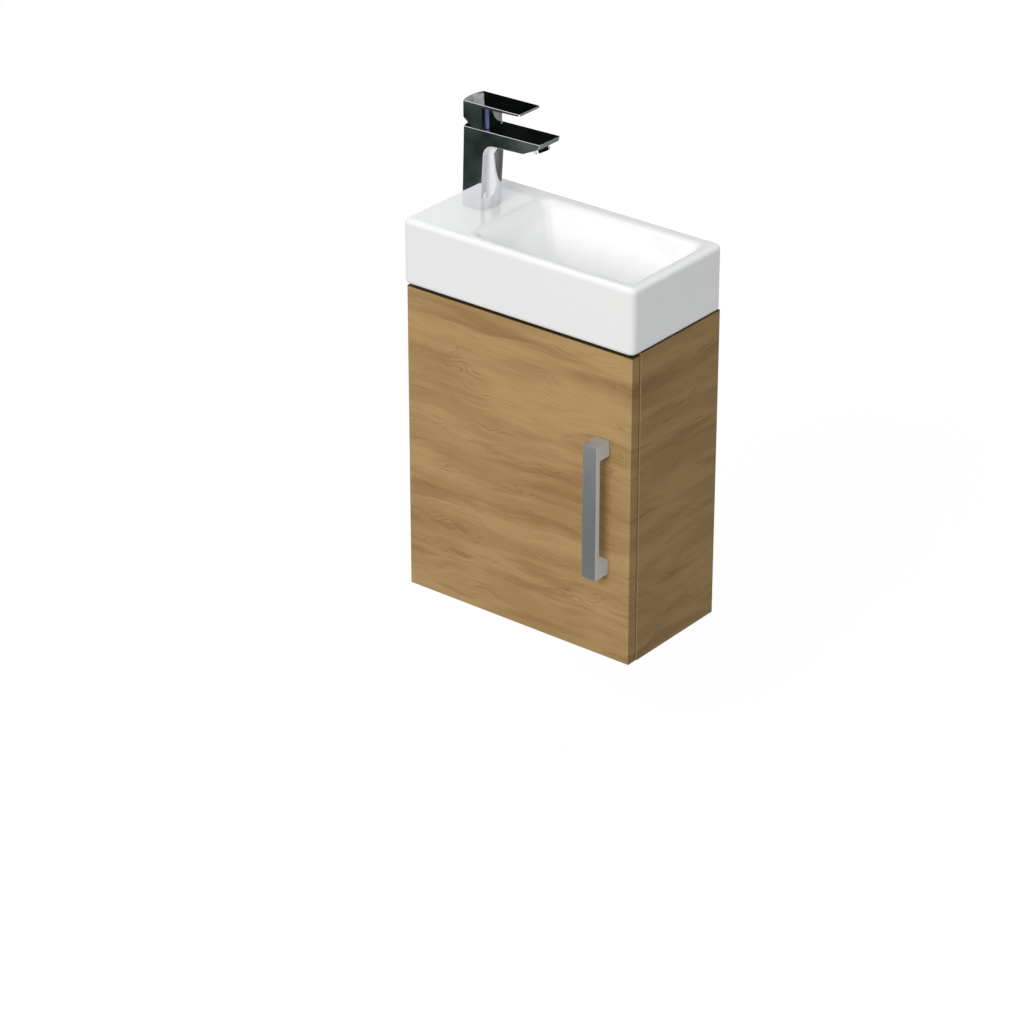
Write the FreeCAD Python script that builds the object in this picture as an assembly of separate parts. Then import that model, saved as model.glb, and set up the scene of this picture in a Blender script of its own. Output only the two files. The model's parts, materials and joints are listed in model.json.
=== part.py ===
import FreeCAD, Part
import math
import os

os.makedirs("parts", exist_ok=True)
V = FreeCAD.Vector

# Cabinet, in millimetres. X runs to the right, Y into the wall, Z up.
# The wall is y = 0 and z = 0 is the height of the wall plates.
cab_w = 400.0
cab_h = 480.0
carcass_d = 183.0
panel_t = 16.0
hang_drop = 40.0
band_t = 1.0
front_rail_h = 60.0
back_rail_h = 100.0
back_rail_setback = 18.0
low_rail_h = 60.0
rail_dowel_at = 0.75
rail_cam_at = 0.33
past = 1.0
tol = 0.1

# Door and handle
door_t = 16.0
door_gap = 2.0
door_side_reveal = 1.0
door_top_reveal = 3.0
door_edge_r = 0.8
bumper_r = 4.0
bumper_in = 14.0
bumper_air = 0.1
handle_l = 208.0
handle_w = 24.0
handle_proj = 30.0
handle_bar_t = 8.0
handle_post_h = 23.0
handle_inset = 50.0
handle_edge_r = 0.6
handle_thread_r = 2.0
handle_hole_play = 0.25
handle_screw_grip = 10.0
handle_screw_head_r = 4.0
handle_screw_sink = 2.4
handle_screw_under = 0.2
handle_sink_play = 0.6
driver_slot_l = 4.8
driver_slot_w = 1.2
driver_slot_depth = 1.2

# Concealed hinges, in plan: u from the cabinet's left face, v back from its front
hinge_from_end = 97.0
door_angle = 95.0
outer_link_ratio = 0.404
inner_link_ratio = 0.207
cup_r = 17.5
cup_wall = 1.0
cup_depth = 11.6
cup_edge = 4.0
cup_wing_t = 1.2
cup_wing_half = 27.0
cup_wing_w = 20.0
cup_wing_r = 4.0
cup_screw_half = 22.5
cup_screw_back = 4.5
cup_screw_l = 12.0
pivot_a = (29.54, 14.0)
pivot_b = (42.0, 2.86)
pivot_c = (11.08, -4.5)
pivot_d = (15.96, -8.8)
outer_bend = (22.69, -6.19)
inner_bend = (22.82, -9.93)
link_half = 1.8
link_eye = 2.5
hook_eye = 2.9
hook_slot = 1.55
hook_slot_top = (0.2, 0.0)
hook_slot_mouth = (-1.6, -8.0)
link_relief = 0.35
hinge_pin_r = 1.0
pin_end_gap = 0.3
pin_play = 0.05
pin_stand_out = 0.2
outer_link_in = 4.4
outer_link_t = 1.2
inner_link_half = 3.8
arm_in = 6.0
arm_t = 1.2
arm_nose_r = 3.0
arm_tail_w = 6.5
arm_tail_v0 = 26.0
arm_tail_v1 = 64.0
arm_screw_in = 8.0
arm_screw_r = 2.0
arm_screw_head_r = 3.6
arm_screw_head_t = 2.2
arm_screw_air = 0.6
plate_t = 3.5
plate_corner_r = 5.0
plate_v = 37.0
plate_half_v = 9.0
plate_half_z = 24.0
plate_screw_half = 16.0
plate_screw_bite = 12.0

# Wall hangers
hanger_w = 16.0
hanger_h = 44.0
hanger_d = 56.0
hanger_back = 10.0
hanger_top_gap = 4.0
hanger_air = 4.0
hanger_side_air = 2.0
hanger_screw_in = 8.0
hanger_screw_up = 30.0
hanger_screw_bite = 11.0
adjuster_low = 8.0
adjuster_pitch = 12.0
adjuster_l = 26.0
hook_w = 7.0
hook_t = 3.0
hook_front_in = 14.0
hook_air = 0.3
hook_wall_air = 0.7
hook_tip_up = 2.5
wall_plate_w = 40.0
wall_plate_t = 2.0
wall_plate_joggle = 5.0
wall_plate_low = -26.0
wall_plate_bend = 10.0
wall_plate_top = 24.0
wall_hole_r = 3.0
wall_plate_air = 2.0
wall_bend_out = 2.0
wall_hole_edge = 8.0
wall_hole_pitch_z = 24.0

# Screws: radius of the shank, radius and depth of the head, radius of the socket
adjuster_size = (2.5, 4.2, 2.4, 1.6)
hanger_screw_size = (2.0, 4.0, 2.2, 1.4)
cup_screw_size = (1.75, 3.6, 1.2, 1.2)
plate_screw_size = (2.5, 4.4, 2.4, 1.5)
socket_share = 0.8

# Joinery
dowel_from_edge = 28.0
dowel_r = 4.0
dowel_l = 30.0
dowel_in_side = 10.0
glue_gap = 0.1
cam_r = 7.5
cam_depth = 12.6
cam_reach = 24.0
cam_slot_l = 10.0
cam_slot_w = 2.0
cam_slot_depth = 1.5
cam_bolt_r = 3.0
cam_thread_r = 2.5
cam_bolt_in_side = 11.0
cam_head_r = 3.6
cam_head_l = 3.0
cam_head_play = 0.4

# Basin
basin_over_side = 2.5
basin_over_front = 5.0
basin_h = 99.0
strip_t = 1.6
strip_w = 6.0
strip_in = 2.0
strip_rail_in = 12.0
basin_corner_r = 10.0
basin_top_r = 8.0
basin_foot_r = 5.0
basin_wall = 11.0
basin_ledge = 34.0
deck_t = 12.0
deck_w = 116.5
rim_right = 18.5
rim_front = 19.0
rim_back = 25.0
bowl_corner_r = 14.0
bowl_depth = 80.0
bowl_wall = 9.0
bowl_lip_left = 14.0
bowl_lip_r = 7.0
bowl_foot_r = 24.0
bowl_slope_left = 0.55
bowl_slope_right = 0.30
bowl_slope_front = 0.22
bowl_slope_back = 0.45
bowl_overcut = 0.7
foot_share = 0.9
bowl_steps = 5
hollow_r = 8.0

# Waste and trap
waste_flange_r = 31.0
waste_flange_t = 2.5
waste_edge = 1.0
waste_seat_play = 0.5
waste_throat = 4.0
waste_web_drop = 30.0
waste_web_h = 10.0
waste_boss_wall = 3.0
waste_spokes = 3
waste_spoke_t = 3.0
waste_r = 20.5
waste_bore_r = 17.0
waste_hole_r = 22.5
waste_l = 66.0
waste_nut_r = 30.0
waste_nut_h = 9.0
waste_seal_t = 3.0
waste_seal_in = 1.0
plug_r = 27.0
plug_t = 6.0
plug_edge = 1.2
plug_dome = 3.0
plug_air = 1.0
plug_stem_r = 4.0
plug_stem_drop = 26.0
plug_collar = 3.0
plug_guide_play = 0.08
plug_seal_t = 2.5
plug_seal_lap = 1.2
trap_pipe_r = 16.0
trap_wall = 2.0
trap_pipe_l = 135.0
trap_seal_t = 3.0
trap_flange_t = 3.0
trap_flange_in = 0.5
union_low = 8.0
union_wall = 5.5
union_edge = 1.5
union_thread_h = 13.0
union_ribs = 12
union_rib_t = 3.0
union_rib_h = 1.5
trap_body_r = 33.0
trap_cup_h = 62.0
trap_cup_edge = 6.0
trap_cup_taper = 2.0
trap_cup_wall = 2.5
trap_head_drop = 62.0
trap_head_h = 46.0
trap_head_wall = 2.5
trap_shoulder = 4.0
trap_roof = 3.0
trap_neck_h = 16.0
trap_neck_wall = 5.0
trap_nut_wall = 4.0
trap_nut_top = 5.0
trap_nut_edge = 2.0
trap_nut_air = 2.0
trap_nut_back = 8.0
trap_lip_h = 6.0
trap_lip_wall = 3.0
trap_bottle_seal_t = 2.0
trap_outlet_y = -38.0
trap_outlet_drop = 20.0
trap_outlet_grip = 10.0
trap_arm_wall = 3.0
trap_arm_in = 8.0
trap_socket_l = 20.0
pipe_play = 0.2

# Tap, measured right from the back of its column and up or down from the back of its top
tap_inset = 37.5
tap_from_wall = 95.5
tap_w = 46.0
tap_column_d = 32.7
tap_edge_r = 0.6
tap_bulge = 7.0
tap_back_bulge = 5.0
tap_lean_back = 3.6
tap_lean_front = 8.0
tap_back_h = 121.0
spout_reach = 138.0
spout_rise = 3.6
spout_nose_in = 2.4
spout_nose_drop = 7.8
spout_kink_in = 29.0
spout_kink_drop = 12.6
spout_root_drop = 2.4
spout_under_l = 52.0
spout_fillet = 18.0
waterway_r = 4.0
waterway_up = 10.0
waterway_in = 3.0
axis_in = 21.0
cart_r = 12.8
cart_bed = 36.0
cart_drop = 7.0
cart_nut_r = 14.0
cart_nut_drop = 1.0
cart_notches = 6
cart_notch = 3.0
port_r = 2.2
port_off = 5.0
rotor_r = 8.0
rotor_air = 1.0
rotor_bed = 21.0
rotor_rise = 9.5
rotor_slot = 7.0
rotor_slot_drop = 11.0
lift_rise = 5.4
lift_pin_r = 1.5
lift_pin_half = 6.5
stem_t = 6.6
stem_half = 4.0
stem_rise = 27.0
stem_tail_half = 2.5
stem_tail_l = 7.0
hub_rise = 1.8
hub_h = 32.2
hub_in = 3.0
hub_d = 33.5
hub_chamfer_h = 11.7
hub_chamfer_x = 15.2
hub_relief_r = 10.3
hub_relief_half = 9.5
lever_l = 99.8
lever_run_in = 6.0
lever_back_t = 3.8
lever_rise = 2.0
lever_tip_t = 2.8
lever_tip_r = 2.0
grub_up = 19.2
grub_r = 2.5
grub_l = 8.0
grub_socket_r = 1.2
grub_socket_l = 4.0
aerator_r = 12.0
aerator_neck_r = 10.0
aerator_drop = 6.0
aerator_neck_l = 5.5
aerator_wall = 1.5
insert_in = 1.0
insert_holes = 6
insert_hole_r = 1.4
insert_ring_r = 5.0
tap_hole_in = 18.5
tap_hole_r = 15.0
stud_off = 7.5
stud_r = 4.0
stud_l = 62.0
stud_in = 20.0
inlet_off = 4.5
inlet_half = 6.8
inlet_r = 4.5
inlet_l = 14.0
passage_r = 2.5
passage_lean = 2.0
base_seal_in = 0.2
base_seal_w = 1.4
base_seal_t = 2.0
shoe_r = 24.0
shoe_t = 2.0
shoe_slot_half = 14.5
shoe_web = 6.5
tap_nut_r = 7.5
tap_nut_h = 10.0

# Values that follow from the sizes above
half_w = cab_w / 2
inner_w = half_w - panel_t
z_top = hang_drop
z_bot = hang_drop - cab_h
front_y = -carcass_d
door_back_y = front_y - door_gap
door_front_y = door_back_y - door_t
door_x0 = -half_w + door_side_reveal
door_x1 = half_w - door_side_reveal
door_z1 = z_top - door_top_reveal
door_mid_z = (z_bot + door_z1) / 2
handle_x = half_w - handle_inset
hinge_zs = (z_bot + hinge_from_end, door_z1 - hinge_from_end)
cup_u = door_side_reveal + cup_edge + cup_r
basin_w = cab_w + 2 * basin_over_side
basin_d = carcass_d + door_gap + door_t + basin_over_front
basin_z0 = z_top + strip_t
deck_z = basin_z0 + basin_h
bowl_z = deck_z - bowl_depth
bowl_left = deck_w - basin_w / 2
bowl_right = basin_w / 2 - rim_right
bowl_front = rim_front - basin_d
bowl_back = -rim_back
wx = (bowl_left + bowl_right + (bowl_slope_left - bowl_slope_right) * bowl_depth) / 2
wy = (bowl_front + bowl_back + (bowl_slope_front - bowl_slope_back) * bowl_depth) / 2
tap_y = -tap_from_wall
tap_back = tap_inset - basin_w / 2
tap_front = tap_back + tap_column_d
spout_tip = tap_back + spout_reach
spout_nose_x = spout_tip - spout_nose_in
spout_kink_x = spout_tip - spout_kink_in
spout_tip_h = tap_back_h + spout_rise
spout_nose_h = spout_tip_h - spout_nose_drop
spout_kink_h = spout_nose_h - spout_kink_drop
spout_root_h = spout_kink_h - spout_root_drop
cart_low = tap_back_h - cart_bed
cart_high = tap_back_h - cart_drop
cart_nut_top = tap_back_h - cart_nut_drop
rotor_low = tap_back_h - rotor_bed
rotor_high = tap_back_h + rotor_rise
lift_h = tap_back_h + lift_rise
stem_top = tap_back_h + stem_rise
hub_low = tap_back_h + hub_rise
hub_high = hub_low + hub_h
lever_back_h = hub_high + lever_back_t
lever_tip_h = lever_back_h + lever_rise
axis_x = tap_back + axis_in
hub_back = tap_back + hub_in
hub_front = hub_back + hub_d
lever_tip = hub_back + lever_l
tap_hole_x = tap_back + tap_hole_in
stud_x = tap_hole_x + stud_off
inlet_x = tap_hole_x - inlet_off


# Helpers
def box(x0, x1, y0, y1, z0, z1):
    return Part.makeBox(x1 - x0, y1 - y0, z1 - z0, V(x0, y0, z0))


def rod(r, a, b):
    a, b = V(*a), V(*b)
    return Part.makeCylinder(r, (b - a).Length, a, b - a)


def tube(r, bore, a, b):
    return rod(r, a, b).cut(rod(bore, a, b))


def prism_xz(points, y0, y1):
    wire = Part.makePolygon([V(x, y0, z) for x, z in points + points[:1]])
    return Part.Face(wire).extrude(V(0, y1 - y0, 0))


def prism_yz(points, x0, x1):
    wire = Part.makePolygon([V(x0, y, z) for y, z in points + points[:1]])
    return Part.Face(wire).extrude(V(x1 - x0, 0, 0))


def prism_xy(points, z0, z1):
    wire = Part.makePolygon([V(x, y, z0) for x, y in points + points[:1]])
    return Part.Face(wire).extrude(V(0, 0, z1 - z0))


def turned(points, x, y):
    wire = Part.makePolygon([V(r, 0, z) for r, z in points + points[:1]])
    solid = Part.Face(wire).revolve(V(0, 0, 0), V(0, 0, 1), 360)
    return solid.translated(V(x, y, 0))


def fuse(shapes):
    return shapes[0].multiFuse(shapes[1:]).removeSplitter()


def cut(shape, tools):
    return shape.cut(Part.Compound(tools)) if tools else shape


def save(name, shapes):
    solids = []
    for shape in shapes:
        solids.extend(shape.Solids)
    Part.Compound(solids).exportStep("parts/" + name + ".step")


def rounded_rect(x0, x1, y0, y1, r, z):
    k = r * (1 - math.sqrt(0.5))
    pts = [
        ((x0 + r, y0), (x1 - r, y0), (x1 - k, y0 + k), (x1, y0 + r)),
        ((x1, y0 + r), (x1, y1 - r), (x1 - k, y1 - k), (x1 - r, y1)),
        ((x1 - r, y1), (x0 + r, y1), (x0 + k, y1 - k), (x0, y1 - r)),
        ((x0, y1 - r), (x0, y0 + r), (x0 + k, y0 + k), (x0 + r, y0)),
    ]
    edges = []
    for a, b, m, c in pts:
        edges.append(Part.makeLine(V(a[0], a[1], z), V(b[0], b[1], z)))
        edges.append(Part.Arc(V(b[0], b[1], z), V(m[0], m[1], z), V(c[0], c[1], z)).toShape())
    return Part.Wire(edges)


def plan(uv):
    return uv[0] - half_w, uv[1] + front_y


def disc(uv, r, z0, z1):
    x, y = plan(uv)
    return rod(r, (x, y, z0), (x, y, z1))


def pin_reach(uv):
    return math.sqrt(cup_r ** 2 - (cup_u - uv[0] + hinge_pin_r) ** 2) - pin_end_gap


def strap(points, half, z0, z1):
    parts = []
    for uv in points:
        parts.append(disc(uv, half, z0, z1))
    for p, q in zip(points[:-1], points[1:]):
        a, b = V(*plan(p), 0), V(*plan(q), 0)
        n = (b - a).cross(V(0, 0, 1)).normalize() * half
        ring = [a + n, b + n, b - n, a - n]
        parts.append(prism_xy([(v.x, v.y) for v in ring], z0, z1))
    return fuse(parts)


def screw_hole(head, tip, size):
    r, head_r, head_t = size[:3]
    head, tip = V(*head), V(*tip)
    cone = Part.makeCone(head_r, r, head_t, head, tip - head)
    return fuse([rod(r, head, tip), cone])


def screw(head, tip, size):
    head_t, socket_r = size[2:]
    start, way = V(*head), V(*tip) - V(*head)
    socket = Part.makeCylinder(socket_r, head_t * socket_share, start, way)
    return screw_hole(head, tip, size).cut(socket)


def hexagon(x, y, r, z0, z1):
    corners = []
    for k in range(6):
        a = math.radians(60 * k)
        corners.append((x + r * math.cos(a), y + r * math.sin(a)))
    return prism_xy(corners, z0, z1)


def ring_of(shape, count, x, y):
    copies = []
    for k in range(count):
        copy = shape.copy()
        copy.rotate(V(0, 0, 0), V(0, 0, 1), 360.0 * k / count)
        copies.append(copy.translated(V(x, y, 0)))
    return copies


# Joinery: dowels and cam fittings at the ends of each cross piece
dowels, cam_locks, cam_bolts = [], [], []
side_holes = {-1: [], 1: []}


def dowel_at(y, z):
    holes = []
    for side in (-1, 1):
        x_out = side * (inner_w + dowel_in_side)
        x_in = side * (inner_w + dowel_in_side - dowel_l)
        dowels.append(rod(dowel_r, (x_in, y, z), (x_out, y, z)))
        hole = rod(dowel_r + glue_gap, (x_in, y, z), (x_out, y, z))
        side_holes[side].append(hole)
        holes.append(hole)
    return holes


def cam_at(y, z, way):
    holes = []
    for side in (-1, 1):
        x_cam = side * (inner_w - cam_reach)
        x_end = side * (inner_w + cam_bolt_in_side)
        x_gap = side * inner_w
        w = V(*way)
        start = V(x_cam, y, z) + w * (panel_t / 2)
        stop = start - w * cam_depth
        lock = rod(cam_r - glue_gap, start, stop)
        pocket = rod(cam_r, start, stop)
        room = rod(cam_head_r + cam_head_play, (x_cam, y, z), (x_gap, y, z))
        slot = box(-cam_slot_l / 2, cam_slot_l / 2, -cam_slot_w / 2, cam_slot_w / 2, -cam_slot_depth, past)
        slot.Placement = FreeCAD.Placement(start, FreeCAD.Rotation(V(0, 0, 1), w))
        cam_locks.append(cut(lock, [room, slot]))
        head = rod(cam_head_r, (x_cam, y, z), (x_cam + side * cam_head_l, y, z))
        shank = rod(cam_bolt_r, (x_cam, y, z), (x_gap, y, z))
        thread = rod(cam_thread_r, (x_gap, y, z), (x_end, y, z))
        cam_bolts.append(fuse([head, shank, thread]))
        side_holes[side].append(thread)
        holes += [pocket, room]
    return holes


def rail_fixings(y, z0, h, way):
    return dowel_at(y, z0 + rail_dowel_at * h) + cam_at(y, z0 + rail_cam_at * h, way)


# Bottom panel and rails
floor_z = z_bot + panel_t
mid_floor = z_bot + panel_t / 2
holes = []
for y in (front_y + dowel_from_edge, -dowel_from_edge):
    holes += dowel_at(y, mid_floor)
holes += cam_at(-carcass_d / 2, mid_floor, (0, 0, -1))
bottom = box(-inner_w, inner_w, front_y + band_t, 0, z_bot, floor_z)
save("bottom_panel", [cut(bottom, holes)])

rail_y = front_y + panel_t / 2
rail_z0 = z_top - front_rail_h
holes = rail_fixings(rail_y, rail_z0, front_rail_h, (0, 1, 0))
front_rail = box(-inner_w, inner_w, front_y, front_y + panel_t, rail_z0, z_top)
save("front_rail", [cut(front_rail, holes)])

back_y1 = -back_rail_setback
back_y = back_y1 - panel_t / 2
back_z0 = z_top - back_rail_h
hanger_z0 = z_top - hanger_top_gap - hanger_h
notch_z = hanger_z0 - hanger_air
holes = rail_fixings(back_y, back_z0, notch_z - back_z0, (0, -1, 0))
back_rail = box(-inner_w, inner_w, back_y1 - panel_t, back_y1, back_z0, z_top)
for side in (-1, 1):
    xs = sorted((side * (inner_w + past), side * (inner_w - hanger_w - hanger_side_air)))
    holes.append(box(xs[0], xs[1], back_y1 - panel_t - past, back_y1 + past, notch_z, z_top + past))
save("hanging_rail", [cut(back_rail, holes)])

low_y = -panel_t / 2
holes = rail_fixings(low_y, floor_z, low_rail_h, (0, -1, 0))
low_rail = box(-inner_w, inner_w, -panel_t, 0, floor_z, floor_z + low_rail_h)
save("lower_rail", [cut(low_rail, holes)])

# Edge bands on the front edges of the sides and the bottom panel
bands = [box(-inner_w, inner_w, front_y, front_y + band_t, z_bot, floor_z)]
for side in (-1, 1):
    xs = sorted((side * inner_w, side * half_w))
    bands.append(box(xs[0], xs[1], front_y, front_y + band_t, z_bot, z_top))
save("edge_bands", bands)

# Wall hangers in the upper back corners: housing, hook, adjusters, screws, wall plate
housings, hooks, adjusters, hanger_screws, wall_plates = [], [], [], [], []
hook_z1 = wall_plate_top + hook_t + hook_air
for side in (-1, 1):
    x_wall = side * inner_w
    x_face = side * (inner_w - hanger_w)
    x_mid = side * (inner_w - hanger_w / 2)
    xs = sorted((x_wall, x_face))
    y_front = -hanger_back - hanger_d
    shell = box(xs[0], xs[1], y_front, -hanger_back, hanger_z0, hanger_z0 + hanger_h)
    hx = (x_mid - hook_w / 2, x_mid + hook_w / 2)
    hook_y0 = y_front + hook_front_in
    hook_y1 = -hook_wall_air
    tip_z = wall_plate_bend + wall_plate_joggle + hook_tip_up
    hooks.append(fuse([
        box(hx[0], hx[1], hook_y0, hook_y1, hook_z1 - hook_t, hook_z1),
        box(hx[0], hx[1], hook_y1 - hook_t, hook_y1, tip_z, hook_z1),
    ]))
    shell_cuts = [box(hx[0], hx[1], hook_y0, 0, hook_z1 - hook_t, hook_z1)]
    for k in (0, 1):
        z = hanger_z0 + adjuster_low + k * adjuster_pitch
        head, tip = (x_mid, y_front, z), (x_mid, y_front + adjuster_l, z)
        adjusters.append(screw(head, tip, adjuster_size))
        shell_cuts.append(screw_hole(head, tip, adjuster_size))
    z = hanger_z0 + hanger_screw_up
    for y in (y_front + hanger_screw_in, -hanger_back - hanger_screw_in):
        head, tip = (x_face, y, z), (x_wall + side * hanger_screw_bite, y, z)
        hole = screw_hole(head, tip, hanger_screw_size)
        hanger_screws.append(screw(head, tip, hanger_screw_size))
        shell_cuts.append(hole)
        side_holes[side].append(hole)
    housings.append(cut(shell, shell_cuts))
    x_edge = inner_w - wall_plate_air - wall_plate_w
    x_hole = side * (x_edge + wall_hole_edge)
    px = sorted((side * x_edge, side * (x_edge + wall_plate_w)))
    t, j, bend = wall_plate_t, wall_plate_joggle, wall_plate_bend + wall_bend_out
    profile = [
        (0, wall_plate_low), (0, bend), (-j, bend + j), (-j, wall_plate_top),
        (-j - t, wall_plate_top), (-j - t, bend + j - t / 2), (-t, bend - t / 2), (-t, wall_plate_low),
    ]
    plate = prism_yz(profile, px[0], px[1])
    drill = []
    for z in (-wall_hole_pitch_z / 2, wall_hole_pitch_z / 2):
        drill.append(rod(wall_hole_r, (x_hole, -t - past, z), (x_hole, past, z)))
    wall_plates.append(cut(plate, drill))
save("hanger_housings", housings)
save("hanger_hooks", hooks)
save("hanger_adjusters", adjusters)
save("hanger_screws", hanger_screws)
save("wall_plates", wall_plates)

# Door with its cup recesses and handle holes
door = box(door_x0, door_x1, door_front_y, door_back_y, z_bot, door_z1)
door = door.makeFillet(door_edge_r, [e for e in door.Edges if e.BoundBox.YMax < door_front_y + tol])
cup_x, cup_y = plan((cup_u, -door_gap))
door_cuts, cups, cup_screws = [], [], []
cx, cy = plan(pivot_c)
dx, dy = plan(pivot_d)
reach_c, reach_d = pin_reach(pivot_c), pin_reach(pivot_d)
for hz in hinge_zs:
    mouth, floor_y = cup_y, cup_y - cup_depth
    door_cuts.append(rod(cup_r, (cup_x, floor_y, hz), (cup_x, mouth, hz)))
    wing = box(
        cup_x - cup_wing_w / 2 + cup_screw_back, cup_x + cup_wing_w / 2 + cup_screw_back,
        mouth - cup_wing_t, mouth, hz - cup_wing_half, hz + cup_wing_half,
    )
    corners = [e for e in wing.Edges if e.BoundBox.YLength > cup_wing_t / 2]
    wing = wing.makeFillet(cup_wing_r, corners)
    door_cuts.append(wing)
    shell = fuse([rod(cup_r, (cup_x, floor_y, hz), (cup_x, mouth, hz)), wing])
    inside = rod(cup_r - cup_wall, (cup_x, floor_y + cup_wall, hz), (cup_x, mouth + past, hz))
    shell = cut(shell, [
        inside,
        rod(hinge_pin_r + pin_play, (cx, cy, hz - reach_c - pin_play), (cx, cy, hz + reach_c + pin_play)),
    ])
    shell = fuse([shell, rod(hinge_pin_r, (dx, dy, hz - reach_d), (dx, dy, hz + reach_d))])
    for dz in (-cup_screw_half, cup_screw_half):
        p = (cup_x + cup_screw_back, mouth, hz + dz)
        q = (cup_x + cup_screw_back, mouth - cup_screw_l, hz + dz)
        cup_screws.append(screw(p, q, cup_screw_size))
        hole = screw_hole(p, q, cup_screw_size)
        shell = shell.cut(hole)
        door_cuts.append(hole)
    cups.append(shell)

# Handle: a square bow with a flat bar and two end posts
hx0, hx1 = handle_x - handle_w / 2, handle_x + handle_w / 2
hz0, hz1 = door_mid_z - handle_l / 2, door_mid_z + handle_l / 2
hy0 = door_front_y - handle_proj
bar_y = hy0 + handle_bar_t
handle = prism_yz([
    (door_front_y, hz0), (door_front_y, hz0 + handle_post_h), (bar_y, hz0 + handle_post_h),
    (bar_y, hz1 - handle_post_h), (door_front_y, hz1 - handle_post_h), (door_front_y, hz1),
    (hy0, hz1), (hy0, hz0),
], hx0, hx1)
handle = handle.makeFillet(handle_edge_r, [e for e in handle.Edges if e.BoundBox.YMax < hy0 + tol])
handle_screws = []
for z in (hz0 + handle_post_h / 2, hz1 - handle_post_h / 2):
    tip = (handle_x, door_front_y - handle_screw_grip, z)
    seat = (handle_x, door_back_y - handle_screw_sink, z)
    top_y = door_back_y - handle_screw_under
    handle = handle.cut(rod(handle_thread_r, tip, (handle_x, door_front_y, z)))
    shank = rod(handle_thread_r, tip, seat)
    head = rod(handle_screw_head_r, seat, (handle_x, top_y, z))
    slot = box(
        handle_x - driver_slot_l / 2, handle_x + driver_slot_l / 2, top_y - driver_slot_depth, top_y,
        z - driver_slot_w / 2, z + driver_slot_w / 2,
    )
    handle_screws.append(fuse([shank, head]).cut(slot))
    door_cuts.append(rod(handle_thread_r + handle_hole_play, (handle_x, door_front_y, z), seat))
    door_cuts.append(rod(handle_screw_head_r + handle_sink_play, seat, (handle_x, door_back_y, z)))
save("door", [cut(door, door_cuts)])
save("handle", [handle])
save("handle_screws", handle_screws)
save("hinge_cups", cups)
save("cup_screws", cup_screws)

bumpers = []
for z in (z_bot + bumper_in, door_z1 - bumper_in):
    x = half_w - panel_t / 2
    bumpers.append(rod(bumper_r, (x, door_back_y, z), (x, front_y - bumper_air, z)))
save("door_bumpers", bumpers)

# The path of the outer links' cup pin, seen from the inner links
def turned_about(p, q, angle):
    a, b = V(*p, 0), V(*q, 0)
    v = b + FreeCAD.Rotation(V(0, 0, 1), angle).multVec(a - b)
    return v.x, v.y


pin_c_way = []
for part_open in (0.0, 0.5, 1.0):
    angle = door_angle * part_open
    at = turned_about(pivot_c, pivot_a, outer_link_ratio * angle)
    pin_c_way.append(turned_about(at, pivot_b, -inner_link_ratio * angle))

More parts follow.
